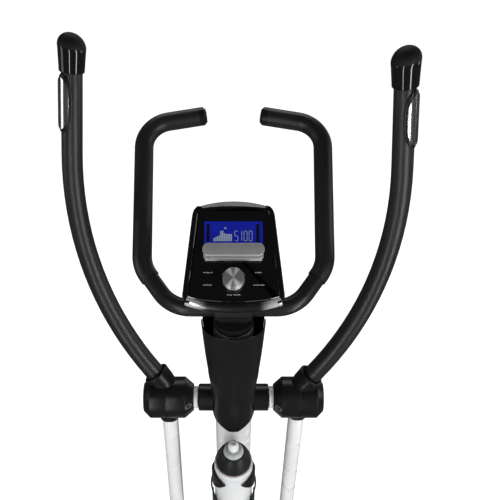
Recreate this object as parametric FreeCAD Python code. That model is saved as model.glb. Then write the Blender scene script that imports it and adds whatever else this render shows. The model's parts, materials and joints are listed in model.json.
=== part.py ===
import FreeCAD, Part
import math
import os

# Elliptical trainer with a rear crank.  Millimetres, +Z up, +Y towards the front of the machine
# (away from the user), X across.  The origin is on the floor, at the middle of the outer box.

# ---- overall layout ------------------------------------------------------------------------
pivot_y = 250.0            # axis that both handle arms swing on
pivot_z = 985.0
mast_lean = 16.0           # degrees that the mast leans back towards the user
crank_y = -365.0
crank_z = 325.0
crank_radius = 165.0
crank_rest_angle = 71.5    # right crank pin, degrees above +Y
arm_length = 702.0         # pivot axis to the lower joint
pedal_length = 820.5       # lower joint to the crank pin
side_x = 116.6             # centre plane of each arm and pedal tube
fit_gap = 0.3              # room round pieces that are slipped over each other
running_gap = 0.05         # radial clearance of a shaft in its bearing

# ---- floor frame ---------------------------------------------------------------------------
beam_half_width = 32.0
beam_bottom = 78.0
beam_height = 50.0
beam_wall = 3.0
beam_overhang = 22.0       # past each stabilizer's axis
front_stabilizer_y = 605.0
rear_stabilizer_y = -617.0
stabilizer_radius = 30.0
stabilizer_wall = 2.0
stabilizer_half = 216.0
stabilizer_z = 48.0
end_cap_radius = stabilizer_radius + 3.0
end_cap_from = 196.0
end_cap_to = 262.0
end_cap_round = 8.0
foot_x = 165.0
foot_radius = 24.0
saddle_half = 62.0
saddle_depth = 26.0        # half a saddle's length along the machine
saddle_drop = 18.0         # below the beam's underside
saddle_grip = 6.0          # up the beam's sides
saddle_bolt_x = 46.0
bolt_radius = 4.0
nut_radius = 8.0
nut_height = 7.0
bolt_head_radius = 7.0
bolt_head_height = 4.6
upright_size = 30.0
wheel_radius = 27.0
wheel_width = 20.0
wheel_room = 1.5           # beside the tread, in its recess
wheel_x = 231.0
wheel_y = 623.0
wheel_z = 34.0
wheel_axle_radius = 4.0
wheel_axle_inner = 14.0    # from the tread's middle towards the machine
wheel_axle_outer = 20.0

# ---- mast ----------------------------------------------------------------------------------
mast_radius = 33.0
mast_wall = 2.5
mast_bottom = -870.0       # measured along the mast from the pivot axis
mast_top = 215.0
socket_top = -740.0
socket_bottom = -905.0
socket_wall = 4.5
mast_bolt_places = (-780.0, -835.0)
axle_radius = 10.0
axle_half = 149.0
axle_head_radius = 14.0
axle_head = 5.0
collar_radius = 24.25
collar_from = mast_radius + 3.0
collar_to = collar_from + 27.0
cover_wall = 2.5
cover_tip = -55.0
cover_top = 222.0
cover_low_half = mast_radius + 4.0
cover_top_half = cover_low_half + 13.3
cover_flare_from = 40.0    # where the cover starts to widen
cover_flare_middle = 130.0
cover_screw_place = -24.0
cover_screw_radius = 3.2

# ---- swing arms ----------------------------------------------------------------------------
sleeve_radius = 19.75
sleeve_from = collar_to + fit_gap
sleeve_to = 148.5
arm_tube_x = 27.0
arm_tube_y = 45.0
arm_tube_wall = 2.0
joint_hub_radius = 24.0
joint_hub_half = 19.5
joint_pin_radius = 8.0
handle_lean = 20.4         # degrees between the arm tube and the handle's plane
handle_root_x = 102.0
handle_splay = 36.5        # degrees from upright where the handle leaves the housing
handle_run = 70.0
handle_bend = 600.0
handle_inward = 3.7        # degrees that the handle's top leans inward
handle_height = 622.0      # end of the tube above the pivot axis
handle_tube_radius = 12.7
handle_tube_wall = 2.0
foam_radius = handle_tube_radius + 4.3
foam_start = 63.0
hand_cap_radius = foam_radius + 5.5
hand_cap_length = 58.0
sensor_length = 80.0
sensor_middle = 110.0      # from the end of the tube down to the middle of the sensor
sensor_radius = foam_radius + 3.5
sensor_turn = 50.0         # degrees from outward round to the user's side
sensor_half_angle = 82.0
contact_middle = 25.0      # degrees from the sensor's middle line to the middle of a plate
contact_half_angle = 19.0
contact_half_length = 27.0
plate_thickness = 0.9
housing_radius = 37.0
housing_from = 71.0
housing_to = 161.0
housing_wall = 3.0
housing_seam = 121.0
housing_inner_step = 13.0  # the inner end's chamfer, across the axis
housing_inner_chamfer = 16.0
housing_outer_chamfer = 7.0
collar_ring_radius = foam_radius + 5.5    # ring where the handle enters the housing
collar_ring_from = 30.0
collar_ring_length = 32.0
skirt_wall = 4.0
skirt_reach = 9.0          # below the housing

# ---- pedals --------------------------------------------------------------------------------
pedal_tube_x = 30.0
pedal_tube_z = 50.0
pedal_tube_wall = 2.5
fork_inner = 20.1          # half the gap between the fork's cheeks
fork_cheek = 6.0
fork_reach = 54.0
fork_half_height = 22.0
pin_head_radius = 13.0
pin_head = 6.0
crank_hub_radius = 26.0
crank_pin_radius = 12.0
plate_from = 88.0
plate_to = 224.0
plate_length = 350.0
plate_middle = 530.0       # behind the lower joint
plate_floor = 8.0
plate_rim = 32.0
plate_wall = 5.0
plate_corner = 28.0

# ---- crank, flywheel and brake -------------------------------------------------------------
disc_radius = 205.0
disc_hub_radius = 30.0
disc_skin = 5.0
disc_rim = 6.0
crank_axle_radius = 10.0
crank_flange_radius = 28.0
pulley_radius = 130.0
pulley_rim = 12.0
pulley_web = 5.0
pulley_hub_radius = 34.0
belt_from = 14.0
belt_to = 28.0
belt_thickness = 3.7
flywheel_y = -165.0
flywheel_z = 262.0
flywheel_radius = 120.0
flywheel_from = -22.0
flywheel_to = 8.0
flywheel_rim = 22.0
flywheel_recess = 9.0
flywheel_hub_radius = 30.0
flywheel_axle_radius = 8.0
flywheel_axle_end = 8.0    # past each fork plate
axle_nut_radius = 14.0
axle_nut = 7.0
small_pulley_radius = 24.0
bracket_shell_radius = 27.0
bearing_radius = 21.0
bearing_width = 12.0
bottom_bracket_from = -52.0
bottom_bracket_to = 6.0
fork_plate = 6.0
fork_left = -40.0
fork_right = 36.0
brake_gap = 4.0
brake_thickness = 10.0
brake_pin_angle = 50.0
brake_pin_radius = 4.0
brake_eye_radius = 9.0
brake_from = -24.0
brake_to = 10.0
brake_arc_start = 62.0     # degrees above +Y
brake_arc = 70.0
brake_lever_angle = 66.0
brake_lever_half = 5.0

# ---- shell round the drive, and the crank discs outside it ---------------------------------
shell_half_width = 60.0
disc_inner = shell_half_width + 3.5
disc_outer = disc_inner + 12.0
crank_pin_face = disc_outer + 1.5
shell_wall = 2.5
shell_edge = 12.0
shell_crank_radius = 235.0
shell_fly_radius = 150.0
shell_bottom = 131.0
shell_axle_hole = 30.0
socket_y = -60.0
socket_z = 190.0
socket_radius = 9.0
socket_bore = 2.8
socket_depth = 12.0
socket_body = 18.0
socket_flange = 1.5
socket_flange_step = 3.0

# ---- fixed handlebar and console -----------------------------------------------------------
bar_offset_y = -57.0       # cross bar, from the pivot axis
bar_offset_z = 232.0
desk_slope = 40.0          # degrees that the console and the handlebar rise towards the front
bar_radius = 14.3
bar_wall = 2.0
bar_corners = ((0, 0), (100, 0), (150, 70), (155, 330), (60, 347))    # right half, in its plane
bar_bends = (0, 60, 60, 50, 0)
bar_foam_radius = bar_radius + 1.9
bar_foam_before = 25.0     # foam on the run before the second bend
bar_cap_length = 13.0
bar_cap_chamfer = 5.0
console_low_half = 82.5
console_top_half = 66.5
console_length = 172.0
console_lip = 9.0
console_back = -5.0
console_seam = 26.0
console_face = 35.0
console_wall = 3.0
console_shoulder = 12.0    # from the sides' upper ends to the crown of the top
console_top_corner = 22.0
console_low_corner = 12.0
console_back_chamfer = 4.0
console_face_round = 5.0
board_half = 55.0
board_to = 140.0
board_height = 12.0
board_thickness = 2.0
lcd_from = 80.0
lcd_to = 136.0
lcd_half = 49.5
lcd_depth = 4.0
rest_from = 68.0
rest_to = 94.0
rest_half = 49.5
rest_step = 9.0            # height of the ledge's foot
rest_plate = 3.0
rest_lip = 5.0             # the plate's lower edge is this far above the foot's
knob_t = 35.0
knob_radius = 17.0
knob_height = 15.0
knob_chamfer = 1.2
knob_socket = 9.0
knob_travel_gap = 1.6
knob_shaft_radius = 3.0
knob_shaft_low = 15.0
trim_from = 158.0
trim_half = 52.0
trim_height = 1.6
trim_edge = 1.5
trim_bow_radius = 400.0
clamp_radius = bar_radius + 7.7
clamp_half = 30.0
clamp_seat = 14.0          # height of the part on the mast's end
clamp_neck_half = 24.0
clamp_neck_rear = -14.0
clamp_neck_front = 26.0

# ---- bottle and cage -----------------------------------------------------------------------
bottle_radius = 37.0
bottle_offset = -mast_radius - bottle_radius - 7.0    # bottle axis from the mast axis
bottle_rim = -84.0
bottle_bottom = -290.0
bottle_wall = 1.5
bottle_neck = 6.0          # height of the neck that the cap screws on
bottle_shoulder = 24.0
bottle_cap_radius = bottle_radius - 4.0
cap_crown = 38.0           # height of the cap without its stem
stem_top = 44.0
stem_bore_radius = 3.0
nozzle_radius = 9.0
nozzle_base_radius = 18.0
nozzle_wall = 3.0
nozzle_from = 38.4         # above the bottle's rim
nozzle_to = 54.0
nozzle_roof = 4.0
cage_gap = 1.5
cage_wall = 3.0
cage_floor = 4.0
cage_floor_hole = 12.0     # the floor's ledge, inward from the wall
cage_top = -122.0
cage_cup = -262.0
cage_mouth = 130.0         # degrees open towards the user above the cup
cage_window_low = 14.0
cage_window_high = 12.0
cage_window_corner = 16.0
cage_back_half = 15.0
cage_back_top = 8.0

V = FreeCAD.Vector
X_AXIS = V(1, 0, 0)
os.makedirs("parts", exist_ok=True)


# ---- shapes that the pieces are made from --------------------------------------------------
def rod(radius, x0, x1, y=0.0, z=0.0):
    """Solid cylinder along X."""
    return Part.makeCylinder(radius, x1 - x0, V(x0, y, z), X_AXIS)


def post(radius, z0, z1, x=0.0, y=0.0):
    """Solid cylinder along Z."""
    return Part.makeCylinder(radius, z1 - z0, V(x, y, z0))


def block(x0, x1, y0, y1, z0, z1):
    return Part.makeBox(x1 - x0, y1 - y0, z1 - z0, V(x0, y0, z0))


def rounded_wire(points, radii, closed=False):
    """Straight runs through the points, with a tangent arc at each corner that has a radius."""
    count = len(points)
    corners = []
    for i, point in enumerate(points):
        if radii[i] == 0 or not (closed or 0 < i < count - 1):
            corners.append((point, None, point))
            continue
        back = (points[i - 1] - point).normalize()
        ahead = (points[(i + 1) % count] - point).normalize()
        half = back.getAngle(ahead) / 2
        reach = radii[i] / math.tan(half)
        inward = (back + ahead).normalize()
        middle = point + inward * (radii[i] / math.sin(half) - radii[i])
        corners.append((point + back * reach, middle, point + ahead * reach))
    edges = []
    for i, (start, middle, end) in enumerate(corners):
        if middle:
            edges.append(Part.Arc(start, middle, end).toShape())
        if i < count - 1 or closed:
            edges.append(Part.LineSegment(end, corners[(i + 1) % count][0]).toShape())
    return Part.Wire(edges)


def round_bar(path, radius):
    """Solid round bar swept along a path of lines and tangent arcs."""
    first = path.OrderedEdges[0]
    start = first.valueAt(first.FirstParameter)
    along = first.tangentAt(first.FirstParameter)
    ring = Part.Wire(Part.Circle(start, along, radius).toShape())
    return path.makePipeShell([ring], True, False)


def capsule(y1, z1, r1, y2, z2, r2, x0, x1):
    """Prism along X whose outline wraps two circles."""
    run = math.hypot(y2 - y1, z2 - z1)
    heading = math.atan2(z2 - z1, y2 - y1)
    spread = math.acos((r1 - r2) / run)

    def at(y, z, r, angle):
        return V(x0, y + r * math.cos(angle), z + r * math.sin(angle))

    a, b = heading + spread, heading - spread
    edges = [
        Part.Arc(at(y1, z1, r1, a), at(y1, z1, r1, heading + math.pi), at(y1, z1, r1, b)).toShape(),
        Part.LineSegment(at(y1, z1, r1, b), at(y2, z2, r2, b)).toShape(),
        Part.Arc(at(y2, z2, r2, b), at(y2, z2, r2, heading), at(y2, z2, r2, a)).toShape(),
        Part.LineSegment(at(y2, z2, r2, a), at(y1, z1, r1, a)).toShape(),
    ]
    return Part.Face(Part.Wire(edges)).extrude(V(x1 - x0, 0, 0))


def rounded_box(x0, x1, y0, y1, z0, z1, radius):
    """Box whose edges along Z are rounded."""
    corners = [V(x0, y0, z0), V(x1, y0, z0), V(x1, y1, z0), V(x0, y1, z0)]
    return Part.Face(rounded_wire(corners, [radius] * 4, True)).extrude(V(0, 0, z1 - z0))


def lathe(profile, base, axis, seat):
    """Solid turned about an axis; the profile's points are (distance along, radius)."""
    points = [base + axis * along + seat * radius for along, radius in profile]
    outline = Part.makePolygon(points + points[:1])
    return Part.Face(outline).revolve(base, axis, 360)


def mirrored(shape):
    return shape.mirror(V(0, 0, 0), X_AXIS)


def placed(shape, placement):
    """The shape moved from a piece's own frame to the machine's frame."""
    moved = shape.copy()
    moved.Placement = placement.multiply(moved.Placement)
    return moved


def joined(shapes):
    return shapes[0].multiFuse(shapes[1:]).removeSplitter()


def save(name, *solids):
    """Write one node, which may hold several like solids."""
    shape = solids[0] if len(solids) == 1 else Part.makeCompound(solids)
    shape.exportStep(f"parts/{name}.step")


# ---- frames of the sloping sub-assemblies --------------------------------------------------
pivot = V(0, pivot_y, pivot_z)
mast_frame = FreeCAD.Placement(pivot, FreeCAD.Rotation(X_AXIS, mast_lean))
bar_centre = pivot + V(0, bar_offset_y, bar_offset_z)
desk_frame = FreeCAD.Placement(bar_centre, FreeCAD.Rotation(X_AXIS, desk_slope))
handle_frame = FreeCAD.Placement(V(0, 0, 0), FreeCAD.Rotation(X_AXIS, -handle_lean))


def linkage_at_rest(pin_angle):
    """Lower joint, crank pin and arm angle that close the linkage for one crank pin angle."""
    angle = math.radians(pin_angle)
    pin = V(0, crank_y + crank_radius * math.cos(angle), crank_z + crank_radius * math.sin(angle))
    between = pin - pivot
    span = between.Length
    along = (arm_length ** 2 - pedal_length ** 2 + span ** 2) / (2 * span)
    across = math.sqrt(arm_length ** 2 - along ** 2)
    unit = between * (1 / span)
    joint = pivot + unit * along + V(0, -unit.z, unit.y) * across
    arm_angle = math.degrees(math.atan2(joint.y - pivot_y, pivot_z - joint.z))
    return joint, pin, arm_angle


def pedal_frame(joint, pin):
    """Frame at the lower joint whose -Y runs to the crank pin."""
    slope = -math.degrees(math.atan2(pin.z - joint.z, joint.y - pin.y))
    return FreeCAD.Placement(joint, FreeCAD.Rotation(X_AXIS, slope))


# ---- floor frame ---------------------------------------------------------------------------
beam_top = beam_bottom + beam_height


def stabilizer_core(y, radius):
    return rod(radius, -stabilizer_half, stabilizer_half, y, stabilizer_z)


def saddle_bolt_shank(x, y, radius):
    low = stabilizer_z + stabilizer_radius - 2 * saddle_grip
    return post(radius, low, beam_bottom + saddle_grip, x, y)


def saddle(y):
    """Curved block between a stabilizer and the beam, with a wing each side for its bolts."""
    wing = block(-saddle_half, saddle_half, y - saddle_depth, y + saddle_depth,
                 beam_bottom - saddle_drop, beam_bottom + saddle_grip)
    seat = wing.cut(rod(stabilizer_radius, -saddle_half - 1, saddle_half + 1, y, stabilizer_z))
    for x in (-saddle_bolt_x, saddle_bolt_x):
        seat = seat.cut(saddle_bolt_shank(x, y, bolt_radius + fit_gap))
    return seat


def drive_uprights():
    """Post with the bottom bracket, and the two plates that hold the flywheel."""
    upright = block(-upright_size, 0, crank_y - upright_size, crank_y + upright_size,
                    beam_top - beam_wall, crank_z)
    bracket = rod(bracket_shell_radius, bottom_bracket_from, bottom_bracket_to, crank_y, crank_z)
    pieces = [upright, bracket]
    pin_y, pin_z = brake_pin_place()
    for x in (fork_left, fork_right):
        lower = capsule(flywheel_y, beam_top - 15, 28, flywheel_y, flywheel_z, 24, x, x + fork_plate)
        ear = capsule(flywheel_y + 40, beam_top, 14, pin_y, pin_z, 12, x, x + fork_plate)
        foot = block(min(x, 0), max(x + fork_plate, 0), flywheel_y - 40, flywheel_y + 60,
                     beam_top - 10, beam_top + 6)
        pieces += [lower.fuse(ear), foot]
    return pieces


def brake_pin_place():
    angle = math.radians(brake_pin_angle)
    reach = flywheel_radius + brake_gap + brake_thickness / 2
    return flywheel_y + reach * math.cos(angle), flywheel_z + reach * math.sin(angle)


def mast_bolt(side, place, radius):
    inner = mast_radius - mast_wall - socket_wall - 1.5
    return Part.makeCylinder(radius, mast_radius - inner, V(side * inner, 0, place), V(side, 0, 0))


def make_base_frame():
    """Beam closed by end plates, with the saddles, the mast's socket and the drive's uprights."""
    rear = rear_stabilizer_y - beam_overhang
    front = front_stabilizer_y + beam_overhang
    beam = block(-beam_half_width, beam_half_width, rear, front, beam_bottom, beam_top)
    hollow = block(-beam_half_width + beam_wall, beam_half_width - beam_wall, rear + beam_wall,
                   front - beam_wall, beam_bottom + beam_wall, beam_top - beam_wall)
    socket_radius_out = mast_radius - mast_wall - fit_gap
    socket = placed(post(socket_radius_out, socket_bottom, socket_top), mast_frame)
    parts = [beam.cut(hollow), saddle(front_stabilizer_y), saddle(rear_stabilizer_y), socket]
    frame = joined(parts + drive_uprights())
    pocket = post(socket_radius_out - socket_wall, socket_bottom + 30, socket_top + 1)
    frame = frame.cut(placed(pocket, mast_frame))
    frame = frame.cut(rod(bearing_radius, bottom_bracket_from - 1, bottom_bracket_to + 1, crank_y, crank_z))
    frame = frame.cut(rod(flywheel_axle_radius, fork_left - 1, fork_right + fork_plate + 1,
                          flywheel_y, flywheel_z))
    pin_y, pin_z = brake_pin_place()
    frame = frame.cut(rod(brake_pin_radius + running_gap, fork_left - 1, fork_right + fork_plate + 1,
                          pin_y, pin_z))
    for side in (-1, 1):
        for place in mast_bolt_places:
            frame = frame.cut(placed(mast_bolt(side, place, bolt_radius + fit_gap), mast_frame))
    save("base_frame", frame)


def make_stabilizers():
    tubes = []
    for y in (front_stabilizer_y, rear_stabilizer_y):
        tube = stabilizer_core(y, stabilizer_radius).cut(
            stabilizer_core(y, stabilizer_radius - stabilizer_wall))
        for x in (-saddle_bolt_x, saddle_bolt_x):
            tube = tube.cut(saddle_bolt_shank(x, y, bolt_radius + fit_gap))
        tubes.append(tube)
    save("stabilizers", *tubes)


def end_cap(y):
    """Moulded cap over the right end of a stabilizer."""
    cap = rod(end_cap_radius, end_cap_from, end_cap_to, y, stabilizer_z)
    rim = [e for e in cap.Edges if abs(e.CenterOfMass.x - end_cap_to) < 0.01 and e.Closed]
    cap = cap.makeFillet(end_cap_round, rim)
    return cap.cut(rod(stabilizer_radius, end_cap_from - 1, stabilizer_half + 0.2, y, stabilizer_z))


def make_end_caps():
    rear = end_cap(rear_stabilizer_y)
    front = end_cap(front_stabilizer_y)
    room = wheel_width / 2 + wheel_room
    front = front.cut(rod(wheel_radius + wheel_room + 1, wheel_x - room, wheel_x + room, wheel_y, wheel_z))
    front = front.cut(rod(wheel_axle_radius + running_gap, wheel_x - wheel_axle_inner - 1,
                          wheel_x + wheel_axle_outer + 2, wheel_y, wheel_z))
    save("stabilizer_end_caps", front, mirrored(front), rear, mirrored(rear))


def make_transport_wheels():
    tread = rod(wheel_radius, wheel_x - wheel_width / 2, wheel_x + wheel_width / 2, wheel_y, wheel_z)
    tread = tread.makeFillet(3, [e for e in tread.Edges if e.Closed])
    wheel = tread.fuse(rod(wheel_axle_radius, wheel_x - wheel_axle_inner, wheel_x + wheel_axle_outer,
                           wheel_y, wheel_z))
    save("transport_wheel_right", wheel)
    save("transport_wheel_left", mirrored(wheel))


def make_feet():
    feet = []
    for y in (front_stabilizer_y, rear_stabilizer_y):
        pad = post(foot_radius, 0, stabilizer_z - 15, foot_x, y)
        pad = pad.cut(rod(stabilizer_radius, 0, stabilizer_half, y, stabilizer_z))
        feet += [pad, mirrored(pad)]
    save("rubber_feet", *feet)


def make_frame_bolts():
    """Domed nuts of the stabilizers and hexagon bolts of the mast socket."""
    bolts = []
    for y in (front_stabilizer_y, rear_stabilizer_y):
        for x in (-saddle_bolt_x, saddle_bolt_x):
            shank = saddle_bolt_shank(x, y, bolt_radius)
            seat = beam_bottom + saddle_grip
            nut = post(nut_radius, seat, seat + nut_height, x, y)
            bolts.append(shank.fuse(nut.makeFillet(3, [nut.Edges[0]])))
    for side in (-1, 1):
        for place in mast_bolt_places:
            shank = mast_bolt(side, place, bolt_radius)
            sunk = 0.9
            head = Part.makeCylinder(bolt_head_radius, bolt_head_height + sunk,
                                     V(side * (mast_radius - sunk), 0, place), V(side, 0, 0))
            head = head.cut(post(mast_radius, place - 9, place + 9))
            bolts.append(placed(shank.fuse(head), mast_frame))
    save("frame_bolts", *bolts)


# ---- mast, its cover and the pivot axle ----------------------------------------------------
def make_mast():
    tube = post(mast_radius, mast_bottom, mast_top).cut(post(mast_radius - mast_wall, mast_bottom, mast_top))
    tube = tube.cut(rod(axle_radius, -60, 60))
    for side in (-1, 1):
        for place in mast_bolt_places:
            tube = tube.cut(mast_bolt(side, place, bolt_radius + fit_gap))
    save("mast", placed(tube, mast_frame))


def make_pivot_axle():
    axle = rod(axle_radius, -axle_half, axle_half)
    head = rod(axle_head_radius, axle_half, axle_half + axle_head)
    save("pivot_axle", placed(joined([axle, head, mirrored(head)]), mast_frame))


def make_pivot_collars():
    collar = rod(collar_radius, collar_from, collar_to)
    outer = [e for e in collar.Edges if abs(e.CenterOfMass.x - collar_to) < 0.01 and e.Closed]
    collar = collar.makeChamfer(2, outer)
    collar = collar.cut(rod(axle_radius, 0, collar_to + 1))
    collar = placed(collar, mast_frame)
    save("pivot_collars", collar, mirrored(collar))


def cover_section(half, inset, place):
    """Rounded outline of the mast cover at one place along the mast."""
    side = half - inset
    depth = cover_low_half - inset + (half - cover_low_half) * 0.25
    corner = depth * 0.86
    points = [V(-side, -depth, place), V(side, -depth, place), V(side, depth, place), V(-side, depth, place)]
    return rounded_wire(points, [min(corner, side * 0.86)] * 4, True)


def cover_loft(inset):
    middle_half = cover_low_half + (cover_top_half - cover_low_half) * 0.6
    places = ((cover_tip - 5, cover_low_half), (cover_flare_from, cover_low_half + 0.3),
              (cover_flare_middle, middle_half), (cover_top, cover_top_half))
    return Part.makeLoft([cover_section(half, inset, place) for place, half in places], True, True)


def make_mast_cover():
    """Two moulded halves clasping the mast from the console down past the pivot."""
    skin = cover_loft(0.0).cut(cover_loft(cover_wall))
    big = 100.0
    skin = skin.cut(rod(collar_radius + fit_gap, -big, big))
    bar = mast_frame.inverse().multVec(bar_centre)
    skin = skin.cut(rod(bar_radius + fit_gap, -big, big, bar.y, bar.z))
    tongue = Part.makeCylinder(cover_low_half, 2 * big, V(0, -big, cover_tip + cover_low_half), V(0, 1, 0))
    tongue = tongue.fuse(block(-big, big, -big, big, cover_tip + cover_low_half, cover_top + 1))
    skin = skin.common(tongue)
    rear = skin.common(block(-big, big, -big, -0.2, cover_tip - 9, cover_top + 1))
    front = skin.common(block(-big, big, 0.2, big, cover_tip + 20, cover_top + 1))
    screw = Part.makeCylinder(cover_screw_radius, cover_low_half, V(0, -big / 2, cover_screw_place),
                              V(0, 1, 0))
    save("mast_cover_rear", placed(rear.cut(screw), mast_frame))
    save("mast_cover_front", placed(front, mast_frame))


# ---- swing arms ----------------------------------------------------------------------------
def handle_points():
    """Corners of the right handle's centre line: root, the two ends of the bend's run, and the top."""
    splay = math.radians(handle_splay)
    lean = math.radians(handle_inward)
    start = V(handle_root_x, 0, 0)
    out = V(math.sin(splay), 0, math.cos(splay))
    turn = splay + lean
    corner = start + out * (handle_run + handle_bend * math.tan(turn / 2))
    up = V(-math.sin(lean), 0, math.cos(lean))
    top = corner + up * ((handle_height - corner.z) / up.z)
    return start, out, corner, up, top


def handle_path(from_root, from_top):
    """Centre line of the handle, begun so far from its root and ended so far from its top."""
    start, out, corner, up, top = handle_points()
    return rounded_wire([start + out * from_root, corner, top - up * from_top], [0, handle_bend, 0])


def swing_arm():
    sleeve = rod(sleeve_radius, sleeve_from, sleeve_to)
    half_x = arm_tube_x / 2
    half_y = arm_tube_y / 2
    wall = arm_tube_wall
    tube = rounded_box(side_x - half_x, side_x + half_x, -half_y, half_y, -arm_length, 0, half_x - 0.5)
    hollow = rounded_box(side_x - half_x + wall, side_x + half_x - wall, -half_y + wall, half_y - wall,
                         -arm_length, -sleeve_radius, half_x - 0.5 - wall)
    hub = rod(joint_hub_radius, side_x - joint_hub_half, side_x + joint_hub_half, 0, -arm_length)
    arm = joined([tube.cut(hollow), sleeve, hub])
    arm = arm.cut(rod(axle_radius + running_gap, 0, sleeve_to + 1))
    pin_bore = rod(joint_pin_radius + running_gap, side_x - 40, side_x + 40, 0, -arm_length)
    return arm.cut(pin_bore)


def handle_tube():
    outer = round_bar(handle_path(15, 0), handle_tube_radius)
    inner = round_bar(handle_path(15, 0), handle_tube_radius - handle_tube_wall)
    tube = placed(outer.cut(inner), handle_frame)
    return tube.cut(rod(sleeve_radius, sleeve_from, sleeve_to))


def handle_grip():
    outer = round_bar(handle_path(foam_start, 4), foam_radius)
    return placed(outer.cut(round_bar(handle_path(foam_start, 4), handle_tube_radius)), handle_frame)


def handle_cap():
    """Bulb on the top of the handle: a sleeve that widens upward, closed by a dome."""
    start, out, corner, up, top = handle_points()
    seat = V(math.cos(math.radians(handle_inward)), 0, math.sin(math.radians(handle_inward)))
    r = hand_cap_radius
    low = -hand_cap_length + 14
    profile = [(low, 0), (low, r - 3), (low + 6, r - 2), (4, r), (9, r - 2), (13, r - 7), (15, r - 13),
               (15.5, 0)]
    cap = lathe(profile, top, up, seat)
    hidden = round_bar(handle_path(foam_start, 4), foam_radius)
    cap = cap.cut(hidden).cut(round_bar(handle_path(foam_start, 0), handle_tube_radius))
    return placed(max(cap.Solids, key=lambda s: s.Volume), handle_frame)


def sensor_frame():
    """Frame on the handle's straight top: Z along the handle, X out through the sensor's middle."""
    start, out, corner, up, top = handle_points()
    turn = FreeCAD.Rotation(V(0, 1, 0), -handle_inward).multiply(FreeCAD.Rotation(V(0, 0, 1), -sensor_turn))
    return FreeCAD.Placement(top - up * sensor_middle, turn)


def sensor_sector(radius, half_length, half_angle, middle_angle):
    """Solid sector of a cylinder about the handle's axis."""
    sector = Part.makeCylinder(radius, 2 * half_length, V(0, 0, -half_length), V(0, 0, 1), 2 * half_angle)
    sector.rotate(V(0, 0, 0), V(0, 0, 1), middle_angle - half_angle)
    return sector


def sensor_housing():
    """Raised oval housing under the user's palm."""
    half = sensor_length / 2
    body = sensor_sector(sensor_radius, half, sensor_half_angle, 0)
    ends = Part.makeCylinder(half, 2 * sensor_radius, V(0, 0, 0), V(1, 0, 0))
    body = body.common(ends).cut(post(foam_radius, -half - 1, half + 1))
    return placed(placed(body, sensor_frame()), handle_frame)


def sensor_plates():
    """Two long narrow contact plates let into the housing."""
    plates = []
    for middle_angle in (-contact_middle, contact_middle):
        plate = sensor_sector(sensor_radius + plate_thickness, contact_half_length, contact_half_angle,
                              middle_angle)
        plate = plate.cut(post(sensor_radius, -sensor_length, sensor_length))
        plates.append(placed(placed(plate, sensor_frame()), handle_frame))
    return plates


def pivot_cover():
    """Two moulded cups that hide the pivot sleeve, split across the axis."""
    r = housing_radius
    w = housing_wall
    first = housing_from + housing_inner_chamfer
    last = housing_to - housing_outer_chamfer
    low = r - housing_inner_step
    high = r - housing_outer_chamfer
    profile = [(housing_from, 0), (housing_from, low), (first, r), (last, r), (housing_to, high),
               (housing_to, 0)]
    body = lathe(profile, V(0, 0, 0), X_AXIS, V(0, 0, 1))
    hollow = [(housing_from + w, 0), (housing_from + w, low - w / 2), (first, r - w), (last, r - w),
              (housing_to - w, high - w / 2), (housing_to - w, 0)]
    start, out, corner, up, top = handle_points()
    ring = Part.makeCylinder(collar_ring_radius, collar_ring_length, start + out * collar_ring_from, out)
    ring = placed(ring, handle_frame)
    skirt_x = arm_tube_x / 2 + skirt_wall
    skirt_y = arm_tube_y / 2 + skirt_wall
    skirt = rounded_box(side_x - skirt_x, side_x + skirt_x, -skirt_y, skirt_y, -r - skirt_reach, -20, 12)
    shell = joined([body, ring, skirt]).cut(lathe(hollow, V(0, 0, 0), X_AXIS, V(0, 0, 1)))
    shell = shell.cut(rod(sleeve_radius + 0.15, 0, housing_from + 10))
    bore = Part.makeCylinder(handle_tube_radius + 0.15, 90, start, out)
    shell = shell.cut(placed(bore, handle_frame))
    hole_x = arm_tube_x / 2 + fit_gap
    hole_y = arm_tube_y / 2 + fit_gap
    shell = shell.cut(rounded_box(side_x - hole_x, side_x + hole_x, -hole_y, hole_y, -60, 0, 12))
    inner = shell.common(block(0, housing_seam - 0.3, -90, 90, -90, 90))
    outer = shell.common(block(housing_seam + 0.3, 300, -90, 90, -90, 90))
    return [max(half.Solids, key=lambda s: s.Volume) for half in (inner, outer)]


def make_arm(side_name, flip, frame):
    pieces = {
        "swing_arm": [swing_arm()],
        "handle_tube": [handle_tube()],
        "handle_grip": [handle_grip()],
        "handle_cap": [handle_cap()],
        "sensor_housing": [sensor_housing()],
        "sensor_plates": sensor_plates(),
        "pivot_cover": pivot_cover(),
    }
    for name, solids in pieces.items():
        if flip:
            solids = [mirrored(solid) for solid in solids]
        save(f"{side_name}_{name}", *[placed(solid, frame) for solid in solids])


# ---- pedals --------------------------------------------------------------------------------
def pedal_tube():
    """Pedal tube with the fork of the lower joint in front and the crank pin at the back."""
    half_x = pedal_tube_x / 2
    half_z = pedal_tube_z / 2
    wall = pedal_tube_wall
    near = -fork_reach
    far = -pedal_length
    tube = block(side_x - half_x, side_x + half_x, far, near, -half_z, half_z)
    tube = tube.makeFillet(8, [e for e in tube.Edges if abs(e.tangentAt(0).y) > 0.99])
    hollow = block(side_x - half_x + wall, side_x + half_x - wall, far + 30, near - 12,
                   -half_z + wall, half_z - wall)
    wide = fork_inner + fork_cheek
    high = fork_half_height
    bridge = block(side_x - wide, side_x + wide, near - 14, near, -high, high)
    parts = [tube, bridge]
    for x in (side_x - wide, side_x + fork_inner):
        parts.append(block(x, x + fork_cheek, near - 1, 0, -high, high))
        parts.append(rod(high, x, x + fork_cheek))
    parts.append(rod(crank_hub_radius, crank_pin_face + 12, side_x + 24, far, 0))
    parts.append(rod(crank_pin_radius, crank_pin_face, side_x, far, 0))
    body = joined(parts).cut(hollow)
    return body.cut(rod(joint_pin_radius, side_x - 40, side_x + 40))


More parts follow.
